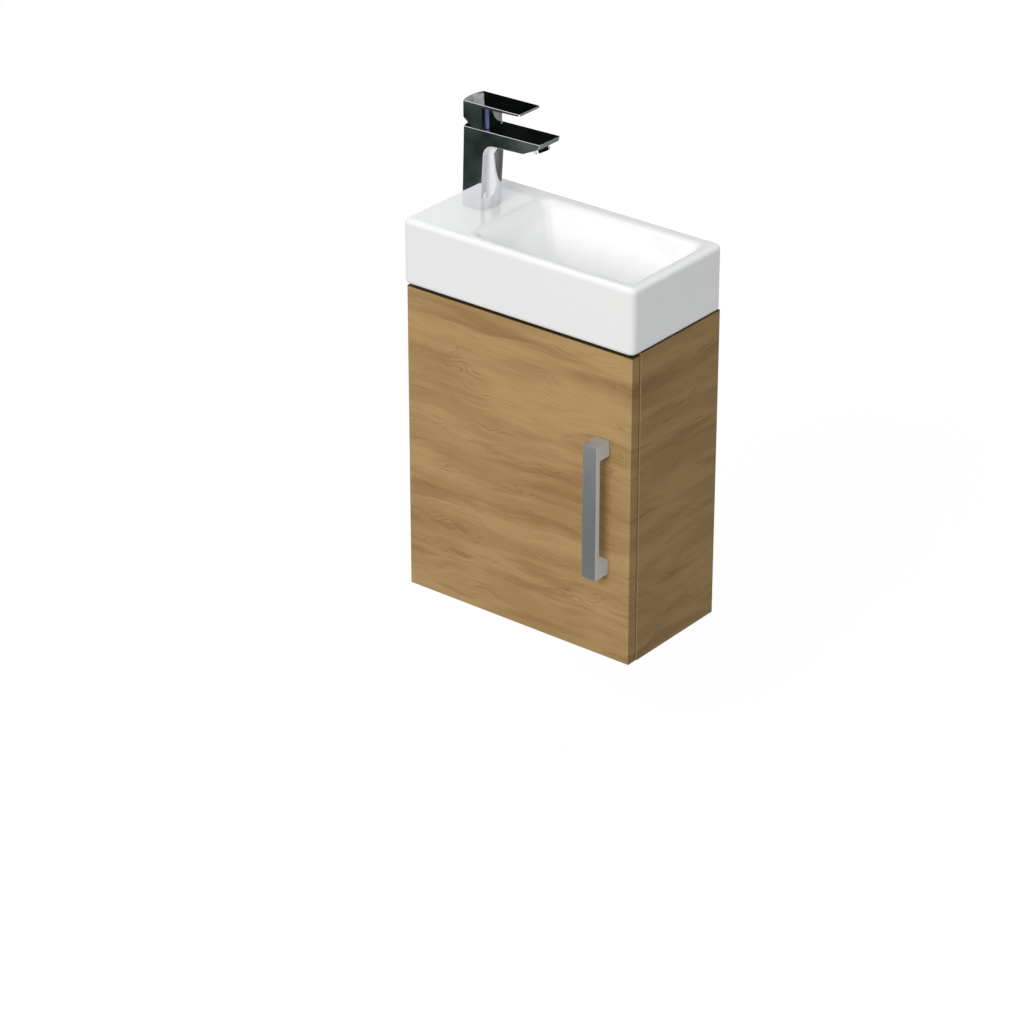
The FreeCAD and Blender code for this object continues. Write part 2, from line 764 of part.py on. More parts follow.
# Hinge arms, plates and links
arms, plates, plate_screws, arm_screws, outer_links, inner_links = [], [], [], [], [], []
base_u = panel_t + plate_t
base_x = base_u - half_w
ax, ay = plan(pivot_a)
bx, by = plan(pivot_b)
for hz in hinge_zs:
    tail = [(base_u, arm_tail_v0), (base_u, arm_tail_v1),
            (base_u + arm_tail_w, arm_tail_v1), (base_u + arm_tail_w, arm_tail_v0)]
    walls = []
    arm_z0, arm_z1 = hz - arm_in - arm_t, hz + arm_in + arm_t
    for z0 in (arm_z0, hz + arm_in):
        nose = strap([pivot_a, pivot_b], arm_nose_r, z0, z0 + arm_t)
        web = [
            plan((pivot_a[0] - arm_nose_r, pivot_a[1])), plan((pivot_a[0], pivot_a[1] - arm_nose_r)),
            plan(pivot_b), plan((pivot_b[0] + arm_nose_r - tol, pivot_b[1])),
            plan(tail[2]), plan(tail[1]), plan(tail[0]),
        ]
        walls.append(fuse([nose, prism_xy(web, z0, z0 + arm_t)]))
    cap_u, cap_v = pivot_b[0] + arm_nose_r - tol, pivot_b[1] + arm_nose_r
    back_top = [
        plan((cap_u, cap_v)), plan(tail[2]),
        plan((tail[2][0] - arm_t, tail[2][1])), plan((cap_u - arm_t, cap_v)),
    ]
    cap = prism_xy(back_top, arm_z0, arm_z1)
    foot = box(base_x, base_x + arm_t, front_y + arm_tail_v0, front_y + arm_tail_v1, arm_z0, arm_z1)
    stubs = []
    for s in (-1, 1):
        stub_z = hz + s * (outer_link_in - pin_stand_out)
        stubs.append(rod(hinge_pin_r, (ax, ay, hz + s * arm_in), (ax, ay, stub_z)))
    arm = fuse(walls + [cap, foot] + stubs)
    b_hole = rod(hinge_pin_r + pin_play, (bx, by, arm_z0 - past), (bx, by, arm_z1 + past))
    fix_y = front_y + arm_tail_v1 - arm_screw_in
    fix_x = base_x + arm_t + arm_screw_head_t
    fix_shank = rod(arm_screw_r, (fix_x, fix_y, hz), (arm_screw_air - inner_w, fix_y, hz))
    fix_head = rod(arm_screw_head_r, (fix_x, fix_y, hz), (base_x + arm_t, fix_y, hz))
    slot = box(
        fix_x - driver_slot_depth, fix_x, fix_y - driver_slot_l / 2, fix_y + driver_slot_l / 2,
        hz - driver_slot_w / 2, hz + driver_slot_w / 2,
    )
    arm_screws.append(fuse([fix_shank, fix_head]).cut(slot))
    arms.append(cut(arm, [b_hole, fix_shank]))

    plate_y = front_y + plate_v
    wing = box(
        -inner_w, base_x, plate_y - plate_half_v, plate_y + plate_half_v,
        hz - plate_half_z, hz + plate_half_z,
    )
    wing = wing.makeFillet(plate_corner_r, [e for e in wing.Edges if e.BoundBox.XLength > plate_t / 2])
    spine = box(-inner_w, base_x, front_y + arm_tail_v0, front_y + arm_tail_v1, arm_z0, arm_z1)
    bores = [fix_shank]
    for dz in (-plate_screw_half, plate_screw_half):
        head = (base_x, plate_y, hz + dz)
        tip = (-inner_w - plate_screw_bite, plate_y, hz + dz)
        hole = screw_hole(head, tip, plate_screw_size)
        plate_screws.append(screw(head, tip, plate_screw_size))
        bores.append(hole)
        side_holes[-1].append(hole)
    plates.append(cut(fuse([wing, spine]), bores))

    leaf = []
    for s in (-1, 1):
        zs = sorted((hz + s * outer_link_in, hz + s * (outer_link_in + outer_link_t)))
        leaf.append(fuse([
            strap([pivot_c, outer_bend, pivot_a], link_half, zs[0], zs[1]),
            disc(pivot_c, link_eye, zs[0], zs[1]),
            disc(pivot_a, link_eye, zs[0], zs[1]),
        ]))
    pin_c = rod(hinge_pin_r, (cx, cy, hz - reach_c), (cx, cy, hz + reach_c))
    outer = fuse(leaf + [pin_c])
    a_hole = rod(hinge_pin_r + pin_play, (ax, ay, arm_z0), (ax, ay, arm_z1))
    outer_links.append(cut(outer, [a_hole]))

    z0, z1 = hz - inner_link_half, hz + inner_link_half
    hook = fuse([
        strap([pivot_d, inner_bend, pivot_b], link_half, z0, z1),
        disc(pivot_d, hook_eye, z0, z1), disc(pivot_b, link_eye, z0, z1),
        rod(hinge_pin_r, (bx, by, arm_z0), (bx, by, arm_z1)),
    ])
    slot = []
    for off in (hook_slot_top, hook_slot_mouth):
        slot.append((pivot_d[0] + off[0], pivot_d[1] + off[1]))
    inner_links.append(cut(hook, [
        strap(slot, hook_slot, z0 - past, z1 + past),
        strap(pin_c_way, hinge_pin_r + link_relief, z0 - past, z1 + past),
    ]))
save("hinge_arms", arms)
save("hinge_plates", plates)
save("plate_screws", plate_screws)
save("arm_screws", arm_screws)
save("outer_links", outer_links)
save("inner_links", inner_links)

# Side panels, drilled for everything above
for side, name in ((-1, "left_side_panel"), (1, "right_side_panel")):
    xs = sorted((side * inner_w, side * half_w))
    panel = box(xs[0], xs[1], front_y + band_t, 0, z_bot, z_top)
    save(name, [cut(panel, side_holes[side])])
save("dowels", dowels)
save("cam_locks", cam_locks)
save("cam_bolts", cam_bolts)

# Sealing strips that the basin is bedded on
strips = []
for side in (-1, 1):
    xs = sorted((side * (half_w - strip_in), side * (half_w - strip_in - strip_w)))
    strips.append(box(xs[0], xs[1], front_y + strip_in, -strip_in, z_top, basin_z0))
strip_y, strip_x = front_y + strip_in, inner_w - strip_rail_in
strips.append(box(-strip_x, strip_x, strip_y, strip_y + strip_w, z_top, basin_z0))
save("sealing_strips", strips)


# Basin: outer block, bowl and hollow underside
def lip(depth, r):
    if depth < 0:
        return r + bowl_overcut
    k = max(r - depth, 0.0)
    return r - math.sqrt(r ** 2 - k ** 2)


quarter = [math.pi / 2 * k / bowl_steps for k in range(bowl_steps + 1)]


def bowl_wires(grow):
    foot_top = bowl_depth - bowl_foot_r
    depths = [-2 * bowl_overcut]
    depths += [bowl_lip_left * (1 - math.cos(a)) for a in quarter]
    depths += [(bowl_lip_left + foot_top) / 2, foot_top]
    depths += [foot_top + bowl_foot_r * math.sin(a) for a in quarter[1:]]
    wires = []
    for d in depths:
        k = max(d - foot_top, 0.0)
        g = grow - foot_share * (bowl_foot_r - math.sqrt(bowl_foot_r ** 2 - k ** 2))
        left, around = (0.0, 0.0) if grow else (lip(d, bowl_lip_left), lip(d, bowl_lip_r))
        s = max(d, 0.0)
        sink = d * (1 + grow / bowl_depth)
        wires.append(rounded_rect(
            bowl_left + bowl_slope_left * s - g - left, bowl_right - bowl_slope_right * s + g + around,
            bowl_front + bowl_slope_front * s - g - around, bowl_back - bowl_slope_back * s + g + around,
            bowl_corner_r + grow + around, deck_z - sink,
        ))
    return wires


outer = box(-basin_w / 2, basin_w / 2, -basin_d, 0, basin_z0, deck_z)
uprights = [e for e in outer.Edges if e.BoundBox.ZLength > tol]
outer = outer.makeFillet(basin_corner_r, uprights)
rim = [e for e in outer.Edges if e.BoundBox.ZMin > deck_z - tol]
outer = outer.makeFillet(basin_top_r, rim)
foot = [e for e in outer.Edges if e.BoundBox.ZMax < basin_z0 + tol]
outer = outer.makeFillet(basin_foot_r, foot)
hollow = box(
    -basin_w / 2 + basin_wall, basin_w / 2 - basin_wall, basin_ledge - basin_d, -basin_wall,
    basin_z0 - past, deck_z - deck_t,
)
hollow = hollow.makeFillet(hollow_r, [e for e in hollow.Edges if e.BoundBox.ZMax > basin_z0])
bowl_out = Part.makeLoft(bowl_wires(bowl_wall), True, False)
bowl_in = Part.makeLoft(bowl_wires(0.0), True, False)
seat_z = bowl_z - waste_flange_t
basin = outer.cut(hollow.cut(bowl_out)).cut(bowl_in)
basin = cut(basin, [
    rod(waste_flange_r + waste_seat_play, (wx, wy, seat_z), (wx, wy, bowl_z + past)),
    rod(waste_hole_r, (wx, wy, basin_z0), (wx, wy, bowl_z)),
    rod(tap_hole_r, (tap_hole_x, tap_y, deck_z - deck_t - past), (tap_hole_x, tap_y, deck_z + past)),
])
save("basin", [basin])

# Waste: body, seal, back nut, plug
under_z = bowl_z - bowl_wall
tail_z = bowl_z - waste_l
web_z1 = bowl_z - waste_web_drop
web_z0 = web_z1 - waste_web_h
waste = turned([
    (waste_bore_r, tail_z), (waste_r, tail_z), (waste_r, seat_z),
    (waste_flange_r, seat_z), (waste_flange_r - waste_edge, bowl_z), (plug_r + plug_air, bowl_z),
    (waste_bore_r + waste_throat, bowl_z - waste_throat), (waste_bore_r, bowl_z - 2 * waste_throat),
], wx, wy)
boss = rod(plug_stem_r + waste_boss_wall, (wx, wy, web_z0), (wx, wy, web_z1))
spoke = box(0, waste_bore_r + past, -waste_spoke_t / 2, waste_spoke_t / 2, web_z0, web_z1)
waste = fuse([waste, boss] + ring_of(spoke, waste_spokes, wx, wy))
guide = rod(plug_stem_r + plug_guide_play, (wx, wy, web_z0 - past), (wx, wy, web_z1 + past))
save("waste_body", [waste.cut(guide)])
nut_z1 = under_z - waste_seal_t
nut_z0 = nut_z1 - waste_nut_h
seal = tube(waste_nut_r - waste_seal_in, waste_r, (wx, wy, nut_z1), (wx, wy, under_z))
save("waste_seal", [seal])
nut = hexagon(wx, wy, waste_nut_r, nut_z0, nut_z1)
save("waste_nut", [nut.cut(rod(waste_r, (wx, wy, nut_z0 - past), (wx, wy, nut_z1 + past)))])

plug_top = bowl_z + plug_t
plug = turned([
    (0, bowl_z), (plug_r - plug_edge, bowl_z), (plug_r, bowl_z + plug_edge), (plug_r, bowl_z + plug_t / 2),
    (plug_r - plug_dome, plug_top - plug_edge), (plug_r / 2, plug_top), (0, plug_top),
], wx, wy)
save("waste_plug", [plug])
collar_r = plug_stem_r + plug_collar
stem_z = web_z1 - plug_stem_drop
stem = turned([
    (0, stem_z), (plug_stem_r, stem_z), (plug_stem_r, bowl_z - plug_collar),
    (collar_r, bowl_z - plug_collar), (collar_r, bowl_z), (0, bowl_z),
], wx, wy)
save("plug_stem", [stem])
seal = tube(waste_bore_r + plug_seal_lap, collar_r, (wx, wy, bowl_z - plug_seal_t), (wx, wy, bowl_z))
save("plug_seal", [seal])

# Bottle trap: seal, union nut, dip pipe, head, cup, outlet nut
pipe_z1 = tail_z - trap_seal_t
flange_z0 = pipe_z1 - trap_flange_t
flange_r = waste_r - trap_flange_in
bore_r = trap_pipe_r - trap_wall
loose_r = trap_pipe_r + pipe_play
save("trap_seal", [tube(flange_r, bore_r, (wx, wy, pipe_z1), (wx, wy, tail_z))])
pipe = turned([
    (bore_r, pipe_z1 - trap_pipe_l), (trap_pipe_r, pipe_z1 - trap_pipe_l), (trap_pipe_r, flange_z0),
    (flange_r, flange_z0), (flange_r, pipe_z1), (bore_r, pipe_z1),
], wx, wy)
save("trap_pipe", [pipe])
union_z0, union_z1 = pipe_z1 - union_low, tail_z + union_thread_h
union_r = waste_r + union_wall
union = turned([
    (loose_r, union_z0), (union_r - union_edge, union_z0), (union_r, union_z0 + union_edge),
    (union_r, union_z1 - union_edge), (union_r - union_edge, union_z1), (waste_r, union_z1),
    (waste_r, flange_z0), (loose_r, flange_z0),
], wx, wy)
rib = box(
    union_r - past, union_r + union_rib_h, -union_rib_t / 2, union_rib_t / 2,
    union_z0 + 2 * union_edge, union_z1 - 2 * union_edge,
)
save("trap_union_nut", [fuse([union] + ring_of(rib, union_ribs, wx, wy))])

head_z1 = tail_z - trap_head_drop
head_z0 = head_z1 - trap_head_h
roof_z = head_z1 - trap_roof
neck_z1 = head_z1 + trap_neck_h
neck_r = trap_pipe_r + trap_neck_wall
wall_r = trap_body_r - trap_head_wall
head = turned([
    (wall_r, head_z0), (trap_body_r, head_z0), (trap_body_r, head_z1 - trap_shoulder),
    (trap_body_r - trap_shoulder, head_z1), (neck_r, head_z1), (neck_r, neck_z1),
    (loose_r, neck_z1), (loose_r, roof_z), (wall_r - trap_roof, roof_z), (wall_r, roof_z - trap_shoulder),
], wx, wy)
out_z = head_z1 - trap_outlet_drop
out_y = trap_outlet_y - trap_outlet_grip
arm_r = trap_pipe_r + trap_arm_wall
arm = rod(arm_r, (wx, wy + trap_body_r - trap_arm_in, out_z), (wx, out_y, out_z))
core = rod(wall_r, (wx, wy, head_z0), (wx, wy, roof_z - trap_shoulder))
head = cut(fuse([head, arm.cut(core)]), [
    rod(trap_pipe_r, (wx, wy + trap_body_r / 2, out_z), (wx, out_y, out_z)),
    rod(loose_r, (wx, out_y - trap_socket_l, out_z), (wx, out_y, out_z)),
])
save("trap_head", [head])
cap_z0 = neck_z1 + trap_seal_t
cap_z1 = cap_z0 + trap_nut_top
cap_r = neck_r + trap_nut_wall
save("trap_neck_seal", [tube(neck_r, trap_pipe_r, (wx, wy, neck_z1), (wx, wy, cap_z0))])
cap = turned([
    (loose_r, cap_z0), (neck_r + pipe_play, cap_z0), (neck_r + pipe_play, head_z1 + trap_nut_air),
    (cap_r, head_z1 + trap_nut_air), (cap_r, cap_z1 - trap_nut_edge), (cap_r - trap_nut_edge, cap_z1),
    (loose_r, cap_z1),
], wx, wy)
save("trap_neck_nut", [cap])
cup_z0 = head_z0 - trap_cup_h
cup_z1 = head_z0 - trap_bottle_seal_t
lip_z = head_z0 + trap_lip_h
lip_r = trap_body_r + trap_lip_wall
thread_r = trap_body_r + pipe_play
low_r = trap_body_r - trap_cup_taper
bottle = turned([
    (0, cup_z0), (low_r - trap_cup_edge, cup_z0), (low_r, cup_z0 + trap_cup_edge),
    (trap_body_r, cup_z1 - trap_lip_wall), (lip_r, cup_z1), (lip_r, lip_z),
    (thread_r, lip_z), (thread_r, cup_z1), (wall_r, cup_z1),
    (low_r - trap_cup_wall, cup_z0 + trap_cup_edge), (low_r - trap_cup_edge, cup_z0 + trap_cup_wall),
    (0, cup_z0 + trap_cup_wall),
], wx, wy)
save("trap_bottle", [bottle])
save("trap_bottle_seal", [tube(trap_body_r, wall_r, (wx, wy, cup_z1), (wx, wy, head_z0))])
nut_y0 = out_y - trap_nut_back
outlet_nut = rod(arm_r + trap_nut_wall, (wx, nut_y0, out_z), (wx, trap_outlet_y, out_z))
outlet_nut = cut(outlet_nut, [
    rod(arm_r + pipe_play, (wx, nut_y0 - past, out_z), (wx, out_y + trap_seal_t, out_z)),
    rod(loose_r, (wx, out_y, out_z), (wx, trap_outlet_y + past, out_z)),
])
save("trap_outlet_nut", [outlet_nut])
save("trap_outlet_seal", [tube(arm_r, loose_r, (wx, out_y, out_z), (wx, out_y + trap_seal_t, out_z))])


# Tap: leaning column with a bowed face, spout, cartridge and lever
def dee(back, front, z):
    y0, y1 = tap_y - tap_w / 2, tap_y + tap_w / 2
    a, b = V(back, y0, z), V(front, y0, z)
    c, d = V(front, y1, z), V(back, y1, z)
    nose, heel = V(front + tap_bulge, tap_y, z), V(back - tap_back_bulge, tap_y, z)
    return Part.Wire([
        Part.makeLine(a, b), Part.Arc(b, nose, c).toShape(),
        Part.makeLine(c, d), Part.Arc(d, heel, a).toShape(),
    ])


def up(h):
    return deck_z + h


def bow(y, sag):
    r = (tap_w ** 2 / 4 + sag ** 2) / (2 * sag)
    return math.sqrt(r ** 2 - y ** 2) - (r - sag)


def tap_outline(y):
    heel, nose = bow(y, tap_back_bulge), bow(y, tap_bulge)
    lean = V(tap_lean_front, 0, tap_back_h).normalize()
    under = V(spout_under_l, 0, spout_kink_h - spout_root_h).normalize()
    foot = V(tap_front + nose, tap_y + y, deck_z)
    kink = V(spout_kink_x, tap_y + y, up(spout_kink_h))
    k = lean.x / lean.z
    m = under.z / under.x
    h = (spout_kink_h + m * (foot.x - spout_kink_x)) / (1 - m * k)
    corner = foot + lean * (h / lean.z)
    angle = lean.negative().getAngle(under)
    run = spout_fillet / math.tan(angle / 2)
    low, high = corner - lean * run, corner + under * run
    inward = (under - lean).normalize()
    middle = corner + inward * (spout_fillet / math.sin(angle / 2) - spout_fillet)
    tilt = (spout_tip_h - tap_back_h) / (spout_tip - tap_back - tap_lean_back)
    rear = V(tap_back + tap_lean_back - heel, tap_y + y, up(tap_back_h - tilt * heel))
    points = [
        kink, V(spout_nose_x, tap_y + y, up(spout_nose_h)), V(spout_tip, tap_y + y, up(spout_tip_h)),
        rear, V(tap_back - heel, tap_y + y, deck_z), foot,
    ]
    edges = [Part.makeLine(foot, low), Part.Arc(low, middle, high).toShape(), Part.makeLine(high, kink)]
    for p, q in zip(points[:-1], points[1:]):
        edges.append(Part.makeLine(p, q))
    return Part.Wire(edges)


stations = [tap_w / 2 * s for s in (-1.0, -0.8, -0.55, -0.28, 0.0, 0.28, 0.55, 0.8, 1.0)]
body = Part.makeLoft([tap_outline(y) for y in stations], True, False)
body = body.makeFillet(tap_edge_r, [e for e in body.Edges if e.BoundBox.ZMax > deck_z + tap_edge_r])
face_dx, face_dz = spout_nose_x - spout_kink_x, spout_nose_h - spout_kink_h
face_l = math.hypot(face_dx, face_dz)
out_dir = V(face_dz / face_l, 0, -face_dx / face_l)
aer = V((spout_kink_x + spout_nose_x) / 2, tap_y, up((spout_kink_h + spout_nose_h) / 2))
way_h = up(spout_root_h + waterway_up)
body = cut(body, [
    rod(cart_r, (axis_x, tap_y, up(cart_low)), (axis_x, tap_y, up(cart_high))),
    rod(cart_nut_r, (axis_x, tap_y, up(cart_high)), (axis_x, tap_y, up(rotor_high))),
    rod(waterway_r, (axis_x + cart_r - past, tap_y, way_h), (aer.x - waterway_in, tap_y, way_h)),
    Part.makeCylinder(aerator_neck_r, aerator_neck_l, aer - out_dir * aerator_neck_l, out_dir),
    rod(stud_r, (stud_x, tap_y, up(-past)), (stud_x, tap_y, up(stud_in))),
])
for s in (-1, 1):
    y = tap_y + s * inlet_half
    body = cut(body, [
        rod(inlet_r, (inlet_x, y, up(-past)), (inlet_x, y, up(inlet_l))),
        rod(passage_r, (inlet_x, y, deck_z), (inlet_x + passage_lean, y, up(cart_low + past))),
    ])
seal_in = tap_hole_r + base_seal_in
seal_ends = (tap_hole_x, tap_y, deck_z), (tap_hole_x, tap_y, up(base_seal_t))
ring = tube(seal_in + base_seal_w, seal_in, *seal_ends)
body = body.cut(ring)
save("tap_body", [body])
save("tap_base_seal", [ring])
save("tap_stud", [rod(stud_r, (stud_x, tap_y, up(stud_in - stud_l)), (stud_x, tap_y, up(stud_in)))])

shoe_z = up(-deck_t)
plate_z = shoe_z - shoe_t
nut_z1 = plate_z - shoe_t
shoe = rod(shoe_r, (tap_hole_x, tap_y, plate_z), (tap_hole_x, tap_y, shoe_z))
shoe = cut(shoe, [
    box(
        tap_hole_x - shoe_r, stud_x - shoe_web, tap_y - shoe_slot_half, tap_y + shoe_slot_half,
        plate_z - past, shoe_z + past,
    ),
    rod(stud_r, (stud_x, tap_y, plate_z), (stud_x, tap_y, shoe_z)),
])
save("tap_shoe_rubber", [shoe])
save("tap_shoe_plate", [shoe.translated(V(0, 0, -shoe_t))])
nut = hexagon(stud_x, tap_y, tap_nut_r, nut_z1 - tap_nut_h, nut_z1)
save("tap_nut", [nut.cut(rod(stud_r, (stud_x, tap_y, nut_z1 - tap_nut_h), (stud_x, tap_y, nut_z1)))])

# Aerator
ring = Part.makeCylinder(aerator_r, aerator_drop, aer, out_dir)
neck_end = aer - out_dir * aerator_neck_l
neck = Part.makeCylinder(aerator_neck_r, aerator_neck_l, neck_end, out_dir)
aerator_l = aerator_neck_l + aerator_drop
insert_r = aerator_neck_r - aerator_wall
bore = Part.makeCylinder(insert_r, aerator_l, neck_end, out_dir)
save("aerator_ring", [fuse([ring, neck]).cut(bore)])
insert = Part.makeCylinder(insert_r, aerator_l - insert_in, neck_end, out_dir)
hole = Part.makeCylinder(insert_hole_r, aerator_l, neck_end, out_dir)
drill = [hole]
for k in range(insert_holes):
    a = 2 * math.pi * k / insert_holes
    sideways = V(0, 1, 0) * math.cos(a) + out_dir.cross(V(0, 1, 0)) * math.sin(a)
    drill.append(hole.translated(sideways * insert_ring_r))
save("aerator_insert", [cut(insert, drill)])

# Cartridge, its nut, the turning rotor with the lift pin, and the stem
axis = (axis_x, tap_y)
cart = rod(cart_r, (*axis, up(cart_low)), (*axis, up(cart_high)))
cart = cart.cut(rod(rotor_r + pin_play, (*axis, up(rotor_low)), (*axis, up(cart_high))))
port_x = axis_x - port_off
for y in (tap_y - port_off, tap_y + port_off):
    cart = cart.cut(rod(port_r, (port_x, y, up(cart_low)), (port_x, y, up(rotor_low))))
save("cartridge", [cart])
nut = tube(cart_nut_r, rotor_r + rotor_air, (*axis, up(cart_high)), (*axis, up(cart_nut_top)))
notch = box(
    cart_nut_r - cart_notch, cart_nut_r + past, -cart_notch / 2, cart_notch / 2,
    up(cart_nut_top - cart_notch), up(cart_nut_top + past),
)
save("cartridge_nut", [cut(nut, ring_of(notch, cart_notches, *axis))])
rotor = rod(rotor_r, (*axis, up(rotor_low)), (*axis, up(rotor_high)))
rotor = rotor.cut(box(
    axis_x - rotor_r - past, axis_x + rotor_r + past, tap_y - rotor_slot / 2, tap_y + rotor_slot / 2,
    up(lift_h - rotor_slot_drop), up(rotor_high + past),
))


def across(r, half):
    return rod(r, (axis_x, tap_y - half, up(lift_h)), (axis_x, tap_y + half, up(lift_h)))


def stem_block(half, h0, h1):
    return box(axis_x - half, axis_x + half, tap_y - stem_t / 2, tap_y + stem_t / 2, up(h0), up(h1))


save("cartridge_rotor", [fuse([rotor, across(lift_pin_r, lift_pin_half)])])
stem = fuse([
    stem_block(stem_half, lift_h, stem_top), across(stem_half, stem_t / 2),
    stem_block(stem_tail_half, lift_h - stem_tail_l, lift_h),
])
save("lever_stem", [stem.cut(across(lift_pin_r + pin_play, stem_t))])

# Lever: hub block with a back chamfer and a flat tapering blade
hub = Part.Face(dee(hub_back, hub_front, up(hub_low))).extrude(V(0, 0, hub_high - hub_low + past))
far = hub_back - tap_w
hub_slope = hub_chamfer_h / hub_chamfer_x
hub = hub.cut(prism_xz([
    (far, up(hub_low - past)), (hub_back + hub_chamfer_x, up(hub_low - past)),
    (hub_back + hub_chamfer_x, up(hub_low)), (far, up(hub_low + hub_slope * (hub_chamfer_x + tap_w))),
], tap_y - tap_w, tap_y + tap_w))
blade_back = hub_back - lever_run_in
blade = prism_xz([
    (blade_back, up(hub_high)), (hub_front + lever_run_in, up(hub_high)),
    (lever_tip, up(lever_tip_h - lever_tip_t)), (lever_tip, up(lever_tip_h)),
    (blade_back, up(lever_back_h)),
], tap_y - tap_w / 2, tap_y + tap_w / 2)
trim = Part.Face(dee(hub_back, lever_tip, up(hub_low))).extrude(V(0, 0, lever_tip_h))
lever = fuse([hub, blade.common(trim)])
tip_edges = [e for e in lever.Edges if e.BoundBox.XMin > lever_tip - tol and e.BoundBox.ZLength > tol]
lever = lever.makeFillet(lever_tip_r, tip_edges)
crown = [e for e in lever.Edges if e.BoundBox.ZMin > up(lever_back_h) - tol]
lever = lever.makeFillet(tap_edge_r, crown)
grub_z = up(hub_low + grub_up)
grub_end = axis_x - stem_half
grub_start = grub_end - grub_l
lever = cut(lever, [
    across(hub_relief_r, hub_relief_half),
    stem_block(stem_half, hub_low, stem_top),
    rod(grub_r, (far, tap_y, grub_z), (grub_end, tap_y, grub_z)),
])
save("lever", [lever])
grub = rod(grub_r, (grub_start, tap_y, grub_z), (grub_end, tap_y, grub_z))
socket = rod(grub_socket_r, (grub_start, tap_y, grub_z), (grub_start + grub_socket_l, tap_y, grub_z))
save("lever_grub_screw", [grub.cut(socket)])
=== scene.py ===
# %% [markdown]
# # A small wall-hung vanity unit with basin
# The unit is an oak-decor cabinet with one door, a white ceramic basin and a chrome lever tap.
# Its pieces come from the CAD model at their real size and place, in metres. No piece is modelled anew,
# because the solids already have the shapes that show. This lesson gives each of them its finish, lights
# them like a product picture and sets the camera.

# %% Load the pieces
import json
import math

import bpy
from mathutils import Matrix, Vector


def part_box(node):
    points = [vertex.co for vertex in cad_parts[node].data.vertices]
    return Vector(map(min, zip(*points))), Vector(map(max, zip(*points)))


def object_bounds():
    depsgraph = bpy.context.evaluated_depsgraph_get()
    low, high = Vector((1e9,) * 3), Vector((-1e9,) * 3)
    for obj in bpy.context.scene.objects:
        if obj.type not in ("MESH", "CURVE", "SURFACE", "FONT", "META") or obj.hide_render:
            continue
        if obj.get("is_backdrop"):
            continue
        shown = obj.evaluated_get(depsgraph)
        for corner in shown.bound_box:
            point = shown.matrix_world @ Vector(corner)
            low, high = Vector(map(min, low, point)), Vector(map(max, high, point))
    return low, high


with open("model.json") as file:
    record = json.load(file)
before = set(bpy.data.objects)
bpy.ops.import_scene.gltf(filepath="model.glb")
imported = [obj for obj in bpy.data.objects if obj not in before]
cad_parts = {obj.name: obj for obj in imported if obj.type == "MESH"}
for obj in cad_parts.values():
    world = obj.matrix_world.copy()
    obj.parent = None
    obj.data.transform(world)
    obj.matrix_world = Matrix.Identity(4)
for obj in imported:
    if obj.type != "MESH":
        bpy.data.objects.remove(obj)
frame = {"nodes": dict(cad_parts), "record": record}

cad_box = [list(corner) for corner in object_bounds()]

# %% [markdown]
# ## Camera
# Product pictures are often shot with a long lens from a step back, so that upright edges stay nearly
# parallel. A camera can be aimed by a constraint that follows an empty. Two plain angles do it here,
# because the unit hangs in one place: one turns the camera to it, one tilts the camera down.

# %% Camera
CAMERA_PLACE = (3.0031, -3.9993, 2.2464)
CAMERA_TURN = 38.423
CAMERA_TILT = 27.369
LENS_MM = 135.0
SENSOR_MM = 36.0
UNIT_CENTRE = Vector((0.0, -0.10, -0.10))

lens = bpy.data.cameras.new("photo_camera")
lens.lens = LENS_MM
lens.sensor_width = SENSOR_MM
camera = bpy.data.objects.new("photo_camera", lens)
camera.location = CAMERA_PLACE
camera.rotation_euler = (math.radians(90.0 - CAMERA_TILT), 0.0, math.radians(CAMERA_TURN))
bpy.context.scene.collection.objects.link(camera)
bpy.context.scene.camera = camera
print("camera", round((camera.location - UNIT_CENTRE).length, 2), "m from the unit")

# %% [markdown]
# ## Colours and nodes
# A colour is written the way a paint chart or a picture gives it, as an sRGB hex value. Shaders count in
# linear light, so one function turns it round. A second small function adds a shader node, sets its
# properties and joins its inputs. Patterns are scaled by real sizes, so a size in millimetres becomes the
# number of repeats in a metre. A Mix node has sockets of one name for numbers and for colours, so its
# colour sockets are picked by their number.

# %% Helpers for colours and nodes
COLOUR_A, COLOUR_B, COLOUR_OUT = 6, 7, 2


def linear(hex_colour):
    levels = [int(hex_colour[i:i + 2], 16) / 255 for i in (1, 3, 5)]
    return tuple(c / 12.92 if c <= 0.04045 else ((c + 0.055) / 1.055) ** 2.4 for c in levels) + (1.0,)


def per_metre(repeat_mm):
    return 1000.0 / repeat_mm


def add(tree, kind, inputs=None, **settings):
    made = tree.nodes.new("ShaderNode" + kind)
    for name, value in settings.items():
        setattr(made, name, value)
    for name, value in (inputs or {}).items():
        if isinstance(value, bpy.types.NodeSocket):
            tree.links.new(value, made.inputs[name])
        else:
            made.inputs[name].default_value = value
    return made


def new_material(name):
    material = bpy.data.materials.new(name)
    material.use_nodes = True
    return material, material.node_tree, material.node_tree.nodes["Principled BSDF"]


print("white is", linear("#FFFFFF"), "and mid grey is", [round(c, 3) for c in linear("#808080")])

# %% [markdown]
# ## Oak decor: the run of the grain
# The boards are chipboard under a printed, lightly embossed oak foil with a satin lacquer. A picture of
# oak could be wrapped on them. A pattern made of noise needs no file, has no seams and runs on round the
# corner from the door to the side, so it is made that way. First come flat coordinates along and across
# the grain. Two noises then push the across coordinate about: a long sway bends the whole print, and a
# ripple on top of it is for the growth lines alone, so that they close into flames here and there.

# %% Run of the grain
GRAIN_ROUGHNESS = 0.55
DRIFT_DETAIL = 2.0
# each drift: its length and width in mm, the noise levels for a full push either way, the push in metres
SWAY = (210.0, 90.0, 0.25, 0.75, 0.008)
RIPPLE = (105.0, 36.0, 0.20, 0.80, 0.012)


